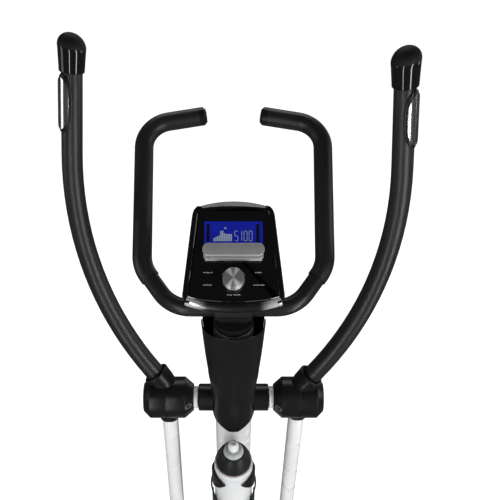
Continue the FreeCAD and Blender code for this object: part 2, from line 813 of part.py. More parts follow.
def joint_pin():
    wide = fork_inner + fork_cheek
    pin = rod(joint_pin_radius, side_x - wide, side_x + wide)
    head = rod(pin_head_radius, side_x + wide, side_x + wide + pin_head)
    nut = rod(pin_head_radius - 1, side_x - wide - pin_head, side_x - wide)
    return joined([pin, head, nut])


def footplate():
    """Moulded tray bolted on the pedal tube, with a raised rim round the foot."""
    low = pedal_tube_z / 2 + 0.2
    y0 = -plate_middle - plate_length / 2
    y1 = -plate_middle + plate_length / 2
    tray = rounded_box(plate_from, plate_to, y0, y1, low, low + plate_rim, plate_corner)
    pocket = rounded_box(plate_from + plate_wall, plate_to - plate_wall, y0 + plate_wall, y1 - plate_wall,
                         low + plate_floor, low + plate_rim + 1, plate_corner - plate_wall)
    return tray.cut(pocket)


def make_pedal(side_name, flip, frame):
    pieces = {"pedal_tube": pedal_tube(), "joint_pin": joint_pin(), "footplate": footplate()}
    for name, solid in pieces.items():
        if flip:
            solid = mirrored(solid)
        save(f"{side_name}_{name}", placed(solid, frame))


# ---- crank, belt, flywheel and brake -------------------------------------------------------
def make_crank():
    axle = rod(crank_axle_radius, -disc_outer + 2, disc_outer - 2, crank_y, crank_z)
    flange = rod(crank_flange_radius, bottom_bracket_to + 1.5, belt_from, crank_y, crank_z)
    save("crank_axle", axle.fuse(flange))
    pulley = rod(pulley_radius, belt_from, belt_to, crank_y, crank_z)
    dish = rod(pulley_radius - pulley_rim, belt_from + pulley_web, belt_to, crank_y, crank_z)
    dish = dish.cut(rod(pulley_hub_radius, belt_from, belt_to, crank_y, crank_z))
    pulley = pulley.cut(dish).cut(rod(crank_axle_radius, belt_from - 1, belt_to + 1, crank_y, crank_z))
    save("crank_pulley", pulley)
    disc = rod(disc_radius, disc_inner, disc_outer, crank_y, crank_z)
    rim = [e for e in disc.Edges if e.Closed and abs(e.CenterOfMass.x - disc_outer) < 0.01]
    disc = disc.makeFillet(4, rim)
    dish = rod(disc_radius - disc_rim, disc_inner, disc_outer - disc_skin, crank_y, crank_z)
    dish = dish.cut(rod(disc_hub_radius, disc_inner, disc_outer, crank_y, crank_z))
    disc = disc.cut(dish).cut(rod(crank_axle_radius, disc_inner - 1, disc_outer - 2, crank_y, crank_z))
    save("crank_discs", disc, mirrored(disc))


def make_crank_bearings():
    rings = []
    for x in (bottom_bracket_from, bottom_bracket_to - bearing_width):
        ring = rod(bearing_radius, x, x + bearing_width, crank_y, crank_z)
        bore = rod(crank_axle_radius + running_gap, x - 1, x + bearing_width + 1, crank_y, crank_z)
        rings.append(ring.cut(bore))
    save("crank_bearings", *rings)


def belt_loop(big, small, x0, x1):
    return capsule(crank_y, crank_z, big, flywheel_y, flywheel_z, small, x0, x1)


def make_drive_belt():
    thick = fit_gap + belt_thickness
    outer = belt_loop(pulley_radius + thick, small_pulley_radius + thick, belt_from, belt_to)
    inner = belt_loop(pulley_radius + fit_gap, small_pulley_radius + fit_gap, belt_from, belt_to)
    save("drive_belt", outer.cut(inner))


def make_flywheel():
    wheel = rod(flywheel_radius, flywheel_from, flywheel_to, flywheel_y, flywheel_z)
    deep = flywheel_recess
    for x0, x1 in ((flywheel_from, flywheel_from + deep), (flywheel_to - deep, flywheel_to)):
        recess = rod(flywheel_radius - flywheel_rim, x0, x1, flywheel_y, flywheel_z)
        wheel = wheel.cut(recess.cut(rod(flywheel_hub_radius, x0, x1, flywheel_y, flywheel_z)))
    bore = rod(flywheel_axle_radius + running_gap, flywheel_from - 1, belt_to + 9, flywheel_y, flywheel_z)
    save("flywheel", wheel.cut(bore))
    pulley = rod(small_pulley_radius, flywheel_to, belt_to + 2, flywheel_y, flywheel_z)
    save("flywheel_pulley", pulley.cut(bore))
    right_face = fork_right + fork_plate
    axle = rod(flywheel_axle_radius, fork_left - flywheel_axle_end, right_face + flywheel_axle_end,
               flywheel_y, flywheel_z)
    nuts = [rod(axle_nut_radius, fork_left - axle_nut, fork_left, flywheel_y, flywheel_z),
            rod(axle_nut_radius, right_face, right_face + axle_nut, flywheel_y, flywheel_z)]
    save("flywheel_axle", joined([axle] + nuts))


def make_brake_bracket():
    """Arc of magnets over the flywheel's rim, hinged on a pin between the flywheel plates."""
    inner = flywheel_radius + brake_gap
    outer = inner + brake_thickness
    arc = Part.makeCylinder(outer, brake_to - brake_from, V(brake_from, flywheel_y, flywheel_z), X_AXIS,
                            brake_arc)
    arc.rotate(V(0, flywheel_y, flywheel_z), X_AXIS, brake_arc_start - 90)
    pin_y, pin_z = brake_pin_place()
    pin = rod(brake_pin_radius, fork_left + 0.5, fork_right + fork_plate - 0.5, pin_y, pin_z)
    eye = rod(brake_eye_radius, brake_from, brake_to, pin_y, pin_z)
    lever_angle = math.radians(brake_lever_angle)
    reach = inner + brake_thickness / 2
    lever = capsule(pin_y, pin_z, brake_lever_half, flywheel_y + reach * math.cos(lever_angle),
                    flywheel_z + reach * math.sin(lever_angle), brake_lever_half - 0.2, brake_from, brake_to)
    rim_room = rod(inner, brake_from - 1, brake_to + 1, flywheel_y, flywheel_z)
    save("brake_bracket", joined([arc.cut(rim_room), eye.fuse(lever).cut(rim_room), pin]))


# ---- shell round the drive -----------------------------------------------------------------
def make_shell():
    def rounded_half(inset):
        body = capsule(crank_y, crank_z, shell_crank_radius - inset,
                       flywheel_y, flywheel_z, shell_fly_radius - inset, 0, shell_half_width - inset)
        rim = [e for e in body.Edges if e.CenterOfMass.x > shell_half_width - inset - 0.01]
        return body.makeFillet(shell_edge - inset, rim)

    half = rounded_half(0).cut(rounded_half(shell_wall))
    half = half.cut(block(-1, 99, -999, 999, -999, shell_bottom))
    half = half.cut(rod(shell_axle_hole, 0, 99, crank_y, crank_z))
    half = half.cut(block(-1, beam_half_width + 1, -999, 999, 0, shell_bottom + 8))
    right = half.cut(block(-1, 0.15, -999, 999, 0, 999))
    left = mirrored(right)
    hole = rod(socket_radius, -shell_half_width - 1, -shell_half_width + 9, socket_y, socket_z)
    save("shell_right", right)
    save("shell_left", left.cut(hole))
    face = -shell_half_width - socket_flange
    jack = rod(socket_radius, face, face + socket_body, socket_y, socket_z)
    jack = jack.fuse(rod(socket_radius + socket_flange_step, face, -shell_half_width, socket_y, socket_z))
    save("dc_socket", jack.cut(rod(socket_bore, face - 1, face + socket_depth, socket_y, socket_z)))


# ---- fixed handlebar -----------------------------------------------------------------------
def half_handlebar(radius):
    """Right half of the handlebar, as a solid bar."""
    return round_bar(rounded_wire([V(x, t, 0) for x, t in bar_corners], bar_bends), radius)


def make_handlebar():
    half = half_handlebar(bar_radius).cut(half_handlebar(bar_radius - bar_wall))
    save("fixed_handlebar", placed(half.fuse(mirrored(half)).removeSplitter(), desk_frame))
    middle, low, bend, top, end = [V(x, t, 0) for x, t in bar_corners]
    start = bend + (low - bend).normalize() * bar_foam_before
    path = rounded_wire([start, bend, top, end], (0,) + bar_bends[2:])
    foam = round_bar(path, bar_foam_radius).cut(round_bar(path, bar_radius))
    save("handlebar_grips", placed(foam, desk_frame), placed(mirrored(foam), desk_frame))
    cap = Part.makeCylinder(bar_foam_radius, bar_cap_length, end, (end - top).normalize())
    tip = [e for e in cap.Edges if e.Closed and (e.CenterOfMass - end).Length > bar_cap_length / 2]
    cap = cap.makeChamfer(bar_cap_chamfer, tip)
    save("handlebar_end_caps", placed(cap, desk_frame), placed(mirrored(cap), desk_frame))


def make_handlebar_clamp():
    """Head plugged on the mast, with a split boss round the cross bar."""
    centre = mast_frame.inverse().multVec(bar_centre)
    seat = post(mast_radius, mast_top, mast_top + clamp_seat)
    neck = block(-clamp_neck_half, clamp_neck_half, clamp_neck_rear, clamp_neck_front,
                 mast_top + 1, centre.z)
    boss = rod(clamp_radius, -clamp_half, clamp_half, centre.y, centre.z)
    clamp = joined([seat, neck, boss]).cut(rod(bar_radius, -60, 60, centre.y, centre.z))
    clamp = clamp.cut(post(mast_radius, 0, mast_top))
    save("handlebar_clamp", placed(clamp, mast_frame))


# ---- console -------------------------------------------------------------------------------
def console_outline(inset, w):
    """Tapered outline with a bowed lower lip and a bowed top, in the console's plane."""
    low = console_low_half - inset
    high = console_top_half - inset
    y0 = inset
    y1 = console_length - console_shoulder - inset
    points = [V(-low, y0, w), V(low, y0, w), V(high, y1, w), V(-high, y1, w)]
    edges = [
        Part.Arc(points[0], V(0, -console_lip + inset, w), points[1]).toShape(),
        Part.LineSegment(points[1], points[2]).toShape(),
        Part.Arc(points[2], V(0, console_length - inset, w), points[3]).toShape(),
        Part.LineSegment(points[3], points[0]).toShape(),
    ]
    return Part.Wire(edges)


def console_prism(inset, w0, w1):
    prism = Part.Face(console_outline(inset, w0)).extrude(V(0, 0, w1 - w0))
    upright = [e for e in prism.Edges if abs(e.tangentAt(e.FirstParameter).z) > 0.99]
    top = [e for e in upright if e.CenterOfMass.y > console_length / 2]
    low = [e for e in upright if e.CenterOfMass.y < console_length / 2]
    prism = prism.makeFillet(console_top_corner - inset, top)
    return prism.makeFillet(console_low_corner - inset, low)


def make_console():
    case = console_prism(0, console_back, console_seam)
    back = [e for e in case.Edges if e.BoundBox.ZMax < console_back + 0.01]
    case = case.makeChamfer(console_back_chamfer, back)
    cavity = console_prism(console_wall, console_back + console_wall, console_seam + 1)
    cavity = cavity.cut(block(-200, 200, -50, clamp_radius + 5, -50, 50))
    clamp_room = rod(clamp_radius + fit_gap, -clamp_half - 1, clamp_half + 1)
    bar_room = half_handlebar(bar_radius + fit_gap)
    case = case.cut(cavity).cut(bar_room).cut(mirrored(bar_room)).cut(clamp_room)
    save("console_case", placed(case, desk_frame))

    panel = console_prism(0, console_seam, console_face)
    rim = [e for e in panel.Edges if e.BoundBox.ZMin > console_face - 0.01]
    panel = panel.makeFillet(console_face_round, rim)
    window = block(-lcd_half, lcd_half, lcd_from, lcd_to, console_face - lcd_depth, console_face + 1)
    shaft_hole = post(knob_shaft_radius + fit_gap, console_seam - 1, console_face + 1, 0, knob_t)
    save("console_panel", placed(panel.cut(window).cut(shaft_hole), desk_frame))

    screen = block(-lcd_half, lcd_half, lcd_from, lcd_to, console_face - lcd_depth, console_face - 0.8)
    save("lcd_screen", placed(screen, desk_frame))
    board_low = console_back + board_height
    board = block(-board_half, board_half, clamp_radius + 12, board_to,
                  board_low, board_low + board_thickness)
    save("circuit_board", placed(board, desk_frame))

    band = console_prism(trim_edge, console_face, console_face + trim_height)
    band = band.common(block(-trim_half, trim_half, trim_from, console_length, 0, 90))
    swell = Part.makeCylinder(trim_bow_radius, 99, V(0, trim_from + 5 - trim_bow_radius, 0))
    save("console_trim", placed(band.cut(swell), desk_frame))


def make_tablet_rest():
    """Two-step ledge across the panel, under the screen."""
    step = console_face + rest_step
    foot = rounded_box(-rest_half + 2, rest_half - 2, rest_from, rest_to - 8, console_face, step, 7)
    plate = rounded_box(-rest_half, rest_half, rest_from + rest_lip, rest_to, step, step + rest_plate, 9)
    save("tablet_rest", placed(joined([foot, plate]), desk_frame))


def make_knob():
    low = console_face + knob_travel_gap
    knob = post(knob_radius, low, low + knob_height, 0, knob_t)
    crown = [e for e in knob.Edges if e.Closed and e.CenterOfMass.z > low + knob_height - 0.01]
    knob = knob.makeChamfer(knob_chamfer, crown)
    knob = knob.cut(post(knob_shaft_radius + running_gap, low - 1, low + knob_socket, 0, knob_t))
    save("console_knob", placed(knob, desk_frame))
    shaft = post(knob_shaft_radius, knob_shaft_low, low + knob_socket - 0.2, 0, knob_t)
    save("knob_shaft", placed(shaft, desk_frame))


# ---- bottle and cage -----------------------------------------------------------------------
def make_bottle():
    up = V(0, 0, 1)
    out = V(1, 0, 0)
    base = V(0, bottle_offset, 0)
    r = bottle_radius
    low = bottle_bottom
    rim = bottle_rim - bottle_neck
    neck = bottle_cap_radius - 3
    wall = bottle_wall
    shoulder = rim - bottle_shoulder
    body = lathe([(low, 0), (low, r - 4), (low + 4, r), (shoulder, r), (rim - 3, neck), (rim, neck),
                  (rim, 0)], base, up, out)
    inside = lathe([(low + wall, 0), (low + wall, r - 5), (low + 5, r - wall), (shoulder, r - wall),
                    (rim - 3, neck - wall), (rim + 1, neck - wall), (rim + 1, 0)], base, up, out)
    save("bottle_body", placed(body.cut(inside), mast_frame))
    c = bottle_cap_radius
    n = nozzle_base_radius
    cap = lathe([(rim, 0), (rim, c), (rim + 8, c), (rim + 16, c - 3), (rim + 24, n + 6), (rim + 27, n),
                 (rim + cap_crown - 2, n - 2), (rim + cap_crown, 0)], base, up, out)
    stem = post(nozzle_radius - nozzle_wall, rim - 2, rim + stem_top, 0, bottle_offset)
    stem_bore = post(stem_bore_radius, rim - 3, rim + stem_top + 1, 0, bottle_offset)
    save("bottle_cap", placed(cap.fuse(stem).cut(stem_bore), mast_frame))
    inner = nozzle_radius - nozzle_wall + 0.1
    first = rim + nozzle_from
    last = rim + nozzle_to
    roof = last - nozzle_roof
    nozzle = lathe([(first, inner), (first, nozzle_radius), (first + 5, nozzle_radius - 1.5),
                    (roof, nozzle_radius - 0.5), (last, nozzle_radius - nozzle_wall), (last, 2), (roof, 2),
                    (roof, inner)], base, up, out)
    save("bottle_nozzle", placed(nozzle, mast_frame))


def make_bottle_cage():
    """Cup at the bottom, open at the front above it, with two looped arms round the bottle."""
    inner = bottle_radius + cage_gap
    outer = inner + cage_wall
    y = bottle_offset
    seat = bottle_bottom - fit_gap
    low = seat - cage_floor
    shell = post(outer, low, cage_top, 0, y).cut(post(inner, seat, cage_top + 1, 0, y))
    shell = shell.cut(post(inner - cage_floor_hole, low - 1, seat + 1, 0, y))
    mouth = Part.makeCylinder(2 * outer, cage_top - cage_cup + 1, V(0, y, cage_cup), V(0, 0, 1), cage_mouth)
    mouth.rotate(V(0, y, 0), V(0, 0, 1), 270 - cage_mouth / 2)
    shell = shell.cut(mouth)
    window = rounded_box(cage_cup + cage_window_low, cage_top - cage_window_high, y - 26, y + 16, -80, 80,
                         cage_window_corner)
    window.rotate(V(0, 0, 0), V(0, 1, 0), -90)
    shell = shell.cut(window)
    back = block(-cage_back_half, cage_back_half, -mast_radius - 5.5, -mast_radius + 8,
                 cage_cup, cage_top + cage_back_top)
    back = back.cut(post(mast_radius, -400, 0)).cut(post(inner, -400, 0, 0, y))
    save("bottle_cage", placed(joined([shell, back]), mast_frame))


def main():
    make_base_frame()
    make_stabilizers()
    make_end_caps()
    make_transport_wheels()
    make_feet()
    make_frame_bolts()
    make_mast()
    make_pivot_axle()
    make_pivot_collars()
    make_mast_cover()
    arms = (("right", False, crank_rest_angle), ("left", True, crank_rest_angle + 180))
    for side_name, flip, pin_angle in arms:
        joint, pin, arm_angle = linkage_at_rest(pin_angle)
        make_arm(side_name, flip, FreeCAD.Placement(pivot, FreeCAD.Rotation(X_AXIS, arm_angle)))
        make_pedal(side_name, flip, pedal_frame(joint, pin))
        print(side_name, "arm angle", round(arm_angle, 3), "joint", joint, "pin", pin)
    make_crank()
    make_crank_bearings()
    make_drive_belt()
    make_flywheel()
    make_brake_bracket()
    make_shell()
    make_handlebar()
    make_handlebar_clamp()
    make_console()
    make_tablet_rest()
    make_knob()
    make_bottle()
    make_bottle_cage()


main()
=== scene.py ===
import json
import math
import bmesh
import bpy
from mathutils import Matrix, Vector


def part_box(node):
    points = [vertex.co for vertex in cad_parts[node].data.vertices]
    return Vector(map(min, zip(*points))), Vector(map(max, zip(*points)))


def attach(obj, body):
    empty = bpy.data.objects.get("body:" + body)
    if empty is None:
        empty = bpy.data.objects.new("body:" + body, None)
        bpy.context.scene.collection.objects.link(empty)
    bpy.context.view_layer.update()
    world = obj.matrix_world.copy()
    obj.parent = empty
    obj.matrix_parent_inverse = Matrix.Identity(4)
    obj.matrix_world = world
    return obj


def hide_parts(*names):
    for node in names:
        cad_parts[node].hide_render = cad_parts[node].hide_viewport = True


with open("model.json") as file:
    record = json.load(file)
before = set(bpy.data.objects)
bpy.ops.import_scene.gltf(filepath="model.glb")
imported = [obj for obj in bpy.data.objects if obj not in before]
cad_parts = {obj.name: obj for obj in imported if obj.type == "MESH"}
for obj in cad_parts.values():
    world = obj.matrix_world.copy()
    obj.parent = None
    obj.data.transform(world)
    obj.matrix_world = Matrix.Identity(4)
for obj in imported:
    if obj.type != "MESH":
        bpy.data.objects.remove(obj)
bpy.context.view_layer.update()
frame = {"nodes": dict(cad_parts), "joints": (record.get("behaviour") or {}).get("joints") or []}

# ---- The trainer's own axes ----------------------------------------------------------------
# Both handle arms swing on one axle through the mast, which leans towards the user.  The console
# and the fixed handlebar share a plane that rises towards the front.
joints = {joint["name"]: joint for joint in frame["joints"]}
pivot = Vector((0, *joints["right_arm_swing"]["pos_m"][1:]))


def axes(origin, up):
    """Frame at origin whose Z is up and whose X runs across the machine."""
    across = Vector((1, 0, 0))
    turn = Matrix((across, up.cross(across), up)).transposed()
    return Matrix.Translation(origin) @ turn.to_4x4()


mast_axes = axes(pivot, Vector(joints["bottle_lift"]["axis"]).normalized())
knob_in_desk = Vector((0, 0.035, 0.045))
desk_axes = (axes(Vector(joints["knob_turn"]["pos_m"]), Vector(joints["knob_turn"]["axis"]).normalized())
             @ Matrix.Translation(-knob_in_desk))


def arm_axes(side):
    """Frame at the pivot whose -Z runs down an arm's tube."""
    drop = Vector(joints[side + "_pedal_hinge"]["pos_m"]) - pivot
    drop.x = 0
    return axes(pivot, -drop.normalized())


# ---- Studio: camera, floor and lamps -------------------------------------------------------
# The camera stands behind the user's head and looks 30 degrees down.  Two upright strip lamps
# draw the long highlights on the round grips, and wide soft lamps light the white tubes.
scene = bpy.context.scene
scene.view_settings.view_transform = "Standard"
camera = bpy.data.objects.new("camera", bpy.data.cameras.new("camera"))
camera.location = pivot + Vector((0, -1.196, 0.997))
camera.rotation_euler = (math.radians(60), 0, 0)
camera.data.lens = 61.2
camera.data.shift_x = 0.033
camera.data.clip_end = 100
scene.collection.objects.link(camera)
scene.camera = camera


def lamp(name, azimuth, distance, height, size, watts, aim=1.25):
    """Rectangular lamp standing round the machine; azimuth 0 is behind the user, 90 to their right."""
    turn = math.radians(azimuth)
    place = Vector((math.sin(turn) * distance, pivot.y - math.cos(turn) * distance, height))
    light = bpy.data.lights.new(name, "AREA")
    light.shape = "RECTANGLE"
    light.size, light.size_y = size
    light.energy = watts
    holder = bpy.data.objects.new(name, light)
    holder.location = place
    holder.rotation_euler = (Vector((0, pivot.y, aim)) - place).to_track_quat("-Z", "Y").to_euler()
    scene.collection.objects.link(holder)


lamp("strip_left", -20, 1.6, 0.95, (0.12, 1.9), 9, 0.95)
lamp("strip_right", 42, 1.6, 0.95, (0.22, 1.9), 15, 0.95)
lamp("soft_left", -80, 3.4, 1.9, (1.2, 2.4), 14)
lamp("soft_right", 95, 3.4, 1.9, (1.2, 2.4), 16)
lamp("soft_top", 180, 2.2, 3.8, (2.6, 1.6), 28)
lamp("soft_back", 150, 4.2, 1.6, (2.4, 2.0), 12)

scene.world = bpy.data.worlds.new("studio")
scene.world.use_nodes = True
scene.world.node_tree.nodes["Background"].inputs["Color"].default_value = (1, 1, 1, 1)
scene.world.node_tree.nodes["Background"].inputs["Strength"].default_value = 0.05

bm = bmesh.new()
bmesh.ops.create_grid(bm, x_segments=2, y_segments=2, size=30)
mesh = bpy.data.meshes.new("floor")
bm.to_mesh(mesh)
bm.free()
floor_paint = bpy.data.materials.new("pale_floor")
floor_paint.use_nodes = True
floor_shader = floor_paint.node_tree.nodes["Principled BSDF"]
floor_shader.inputs["Base Color"].default_value = (0.6, 0.6, 0.6, 1)
floor_shader.inputs["Roughness"].default_value = 0.9
floor_shader.inputs["Specular IOR Level"].default_value = 0
floor_shader.inputs["Emission Color"].default_value = (1, 1, 1, 1)
floor_shader.inputs["Emission Strength"].default_value = 1.0
mesh.materials.append(floor_paint)
floor = bpy.data.objects.new("floor", mesh)
floor.visible_glossy = False
scene.collection.objects.link(floor)
bm = bmesh.new()
bmesh.ops.create_cone(bm, cap_ends=False, segments=96, radius1=28, radius2=28, depth=30)
bmesh.ops.translate(bm, vec=(0, 0, 15), verts=bm.verts)
mesh = bpy.data.meshes.new("backdrop")
bm.to_mesh(mesh)
bm.free()
mesh.materials.append(floor_paint)
backdrop = bpy.data.objects.new("backdrop", mesh)
backdrop.visible_glossy = False
backdrop.visible_diffuse = False
scene.collection.objects.link(backdrop)


# ---- White powder coat: mast, floor frame, stabilizers, swing arms and pedal tubes ----------
# Welded steel tube, blasted and powder coated in white.  The coat has a faint orange peel and is
# a little glossier where hands have rubbed it.
class Shade:
    """A shader socket: arithmetic on it adds Math nodes, and node() adds any other node."""

    def __init__(self, tree, socket=None):
        self.tree = tree
        self.socket = socket

    def node(self, kind, settings=None, inputs=None, out=0):
        made = self.tree.nodes.new("ShaderNode" + kind)
        for key, value in (settings or {}).items():
            if key == "stops":
                points = made.color_ramp.elements
                while len(points) < len(value):
                    points.new(0.5)
                for point, (place, tone) in zip(points, value):
                    point.position = place
                    point.color = (tone, tone, tone, 1) if isinstance(tone, (int, float)) else (*tone, 1)
            else:
                setattr(made, key, value)
        for key, value in (inputs or {}).items():
            if isinstance(value, Shade):
                self.tree.links.new(value.socket, made.inputs[key])
            else:
                made.inputs[key].default_value = value
        return Shade(self.tree, made.outputs[out])

    def maths(self, operation, *values):
        return self.node("Math", {"operation": operation}, dict(enumerate(values)))

    def __add__(self, other):
        return self.maths("ADD", self, other)

    __radd__ = __add__

    def __mul__(self, other):
        return self.maths("MULTIPLY", self, other)

    __rmul__ = __mul__

    def __sub__(self, other):
        return self.maths("SUBTRACT", self, other)

    def __rsub__(self, other):
        return self.maths("SUBTRACT", other, self)

    def __pow__(self, other):
        return self.maths("POWER", self, other)

    def noise(self, scale, detail=3.0, rough=0.55):
        return self.node("TexNoise", {}, {"Vector": self, "Scale": scale, "Detail": detail, "Roughness": rough})

    def between(self, low, high):
        """Remaps a 0 to 1 value to low to high."""
        return self * (high - low) + low

    def tint(self, dark, light):
        """Colour that runs from dark to light with this value."""
        return self.node("Mix", {"data_type": "RGBA"}, {0: self, 6: (*dark, 1), 7: (*light, 1)}, 2)


def paint(name, **sockets):
    """A material, its shader and its Object coordinates; the sockets get uniform values."""
    material = bpy.data.materials.new(name)
    material.use_nodes = True
    shader = material.node_tree.nodes["Principled BSDF"]
    for key, value in sockets.items():
        shader.inputs[key.replace("_", " ")].default_value = value
    place = Shade(material.node_tree).node("TexCoord", out="Object")
    return material, shader, place


def drive(shader, key, value):
    """Links a value that varies over the surface to one of the shader's sockets."""
    value.tree.links.new(value.socket, shader.inputs[key])


def grain(shader, height, strength, depth):
    """Bump from a height that varies over the surface."""
    drive(shader, "Normal", height.node("Bump", {}, {"Strength": strength, "Distance": depth, "Height": height}))


def white_coat():
    material, shader, place = paint("white_powder_coat", Coat_Weight=0.15, Coat_Roughness=0.15)
    cloud = place.noise(7.0)
    drive(shader, "Base Color", cloud.tint((0.77, 0.77, 0.775), (0.82, 0.82, 0.825)))
    drive(shader, "Roughness", cloud.between(0.22, 0.34))
    grain(shader, place.noise(900.0, 2.0), 0.12, 0.0004)
    return material


def dress(material, *nodes):
    """Gives CAD nodes a material in place of their plain one."""
    for node in nodes:
        piece = frame["nodes"][node]
        piece.data.materials.clear()
        piece.data.materials.append(material)


white = white_coat()
dress(white, "base_frame", "stabilizers", "mast", "left_swing_arm", "right_swing_arm",
      "left_pedal_tube", "right_pedal_tube")


# ---- Black coat: fixed handlebar, its clamp, the handle tubes and the brake bracket ----------
# The same steel tube under a satin black powder coat.
def black_coat():
    material, shader, place = paint("black_powder_coat", Specular_IOR_Level=0.35)
    drive(shader, "Base Color", place.noise(11.0).tint((0.010, 0.010, 0.011), (0.018, 0.018, 0.019)))
    drive(shader, "Roughness", place.noise(23.0).between(0.26, 0.38))
    grain(shader, place.noise(1100.0, 2.0), 0.15, 0.0004)
    return material


black_metal = black_coat()
dress(black_metal, "fixed_handlebar", "handlebar_clamp", "left_handle_tube", "right_handle_tube", "brake_bracket")


# ---- Moulded black plastic: collars, caps, housings and shells -------------------------------
# Injection moulded ABS with a fine spark-eroded texture, which goes satin on the edges.
def satin_plastic(name, tone, low, high, fine=1600.0, lift=0.2):
    material, shader, place = paint(name, Specular_IOR_Level=0.3)
    drive(shader, "Base Color", place.noise(9.0).tint((tone * 0.7,) * 3, (tone * 1.2,) * 3))
    drive(shader, "Roughness", place.noise(30.0).between(low, high))
    grain(shader, place.noise(fine, 3.0), lift, 0.0003)
    return material


satin_black = satin_plastic("satin_black_plastic", 0.009, 0.24, 0.36)
shell_black = satin_plastic("textured_black_shell", 0.014, 0.34, 0.5, 1000.0, 0.35)
grey_plastic = satin_plastic("grey_plastic", 0.10, 0.45, 0.6)
rubber = satin_plastic("black_rubber", 0.018, 0.65, 0.85, 1300.0, 0.5)
dress(satin_black, "pivot_collars", "handlebar_end_caps", "console_case", "mast_cover_front")
dress(shell_black, "shell_left", "shell_right", "stabilizer_end_caps")


def gloss_plastic(name, tone):
    material, shader, place = paint(name, Coat_Weight=1.0, Coat_Roughness=0.03, Specular_IOR_Level=0.05)
    drive(shader, "Base Color", place.noise(5.0).tint((tone * 0.8,) * 3, (tone * 1.2,) * 3))
    drive(shader, "Roughness", place.noise(40.0).between(0.10, 0.16))
    grain(shader, place.noise(60.0, 1.0), 0.03, 0.0006)
    return material


gloss_black = gloss_plastic("gloss_black_plastic", 0.004)
dress(gloss_black, "crank_discs")


# ---- Foam grips on the moving handles --------------------------------------------------------
# Closed-cell foam tube slipped over the steel handle from the pivot cover to the end bulb.  Its
# skin is smooth with fine pores.
def foam_skin():
    material, shader, place = paint("grip_foam", Specular_IOR_Level=0.5)
    pores = place.noise(1500.0, 4.0, 0.7)
    cloud = place.noise(14.0)
    drive(shader, "Base Color", cloud.tint((0.010, 0.010, 0.010), (0.017, 0.017, 0.018)))
    drive(shader, "Roughness", cloud.between(0.32, 0.42))
    grain(shader, pores, 0.25, 0.0005)
    return material


foam = foam_skin()
handle_lean = math.radians(20.4)
handle_splay = math.radians(36.5)
handle_inward = math.radians(3.7)
handle_root = Vector((0.102, 0, 0))
handle_run = 0.070
handle_bend = 0.600
handle_height = 0.622
foam_radius = 0.017


def handle_axes(side):
    return arm_axes(side) @ Matrix.Rotation(-handle_lean, 4, "X")


def heading(angle):
    """Direction in the XZ plane, from upright towards +X."""
    return Vector((math.sin(angle), 0, math.cos(angle)))


def bent_bar(radius, start, angle, moves, sides=40):
    """Round bar in the XZ plane: a move is a straight length, or (bend radius, angle it turns by)."""
    bm = bmesh.new()
    turn = Matrix.Translation(start) @ Matrix.Rotation(angle, 4, "Y")
    ring = bmesh.ops.create_circle(bm, segments=sides, radius=radius, matrix=turn)["verts"]
    edges = bm.edges[:]
    bm.faces.new(ring)
    place = start.copy()
    for move in moves:
        if isinstance(move, float):
            grown = bmesh.ops.extrude_edge_only(bm, edges=edges)["geom"]
            bmesh.ops.translate(bm, vec=heading(angle) * move, verts=[g for g in grown if isinstance(g, bmesh.types.BMVert)])
            place += heading(angle) * move
        else:
            bend, change = move
            side = heading(angle + math.copysign(math.pi / 2, change))
            centre = place + side * bend
            steps = max(6, int(abs(change) * 26))
            grown = bmesh.ops.spin(bm, geom=edges + [v for v in {v for e in edges for v in e.verts}], cent=centre,
                                   axis=(0, 1, 0), angle=change, steps=steps)["geom_last"]
            angle += change
            place = centre - heading(angle + math.copysign(math.pi / 2, change)) * bend
        edges = [g for g in grown if isinstance(g, bmesh.types.BMEdge)]
    bmesh.ops.contextual_create(bm, geom=edges)
    bmesh.ops.remove_doubles(bm, verts=bm.verts, dist=1e-6)
    bmesh.ops.recalc_face_normals(bm, faces=bm.faces)
    return bm


def soften(bm, width, above=35.0, segments=3):
    """Rounds every edge that is sharper than an angle."""
    sharp = [e for e in bm.edges if len(e.link_faces) == 2 and e.calc_face_angle() > math.radians(above)]
    bmesh.ops.bevel(bm, geom=sharp, offset=width, segments=segments, profile=0.5, affect="EDGES", material=-1,
                    clamp_overlap=True)


def finished(name, bm, place, material, body, replaced=(), flip=False, crease=38.0):
    """Puts a mesh in its place on the machine and hands it to the body that carries it."""
    bmesh.ops.transform(bm, matrix=place, verts=bm.verts)
    if flip:
        bmesh.ops.scale(bm, vec=(-1, 1, 1), verts=bm.verts)
        bmesh.ops.reverse_faces(bm, faces=bm.faces)
    mesh = bpy.data.meshes.new(name)
    bm.to_mesh(mesh)
    bm.free()
    for coat in material if isinstance(material, list) else [material]:
        mesh.materials.append(coat)
    mesh.shade_smooth()
    mesh.set_sharp_from_angle(angle=math.radians(crease))
    piece = bpy.data.objects.new(name, mesh)
    scene.collection.objects.link(piece)
    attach(piece, body)
    if replaced:
        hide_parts(*replaced)
    return piece


def handle_corner():
    """Where the handle's splayed run and its upright top would meet."""
    turn = handle_splay + handle_inward
    return handle_root + heading(handle_splay) * (handle_run + handle_bend * math.tan(turn / 2))


def handle_end():
    corner = handle_corner()
    up = heading(-handle_inward)
    return corner + up * ((handle_height - corner.z) / up.z)


sides = (("right", False), ("left", True))
for side, flip in sides:
    turn = handle_splay + handle_inward
    reach = handle_bend * math.tan(turn / 2)
    top_run = (handle_end() - handle_corner()).length - reach
    start = 0.060
    grip = bent_bar(foam_radius, handle_root + heading(handle_splay) * start, handle_splay,
                    [handle_run - start, (handle_bend, -turn), top_run - 0.004])
    soften(grip, 0.0022, 60.0)
    piece = finished(side + "_foam_grip", grip, handle_axes(side), foam, side + "_arm",
                     [side + "_handle_grip"], flip)


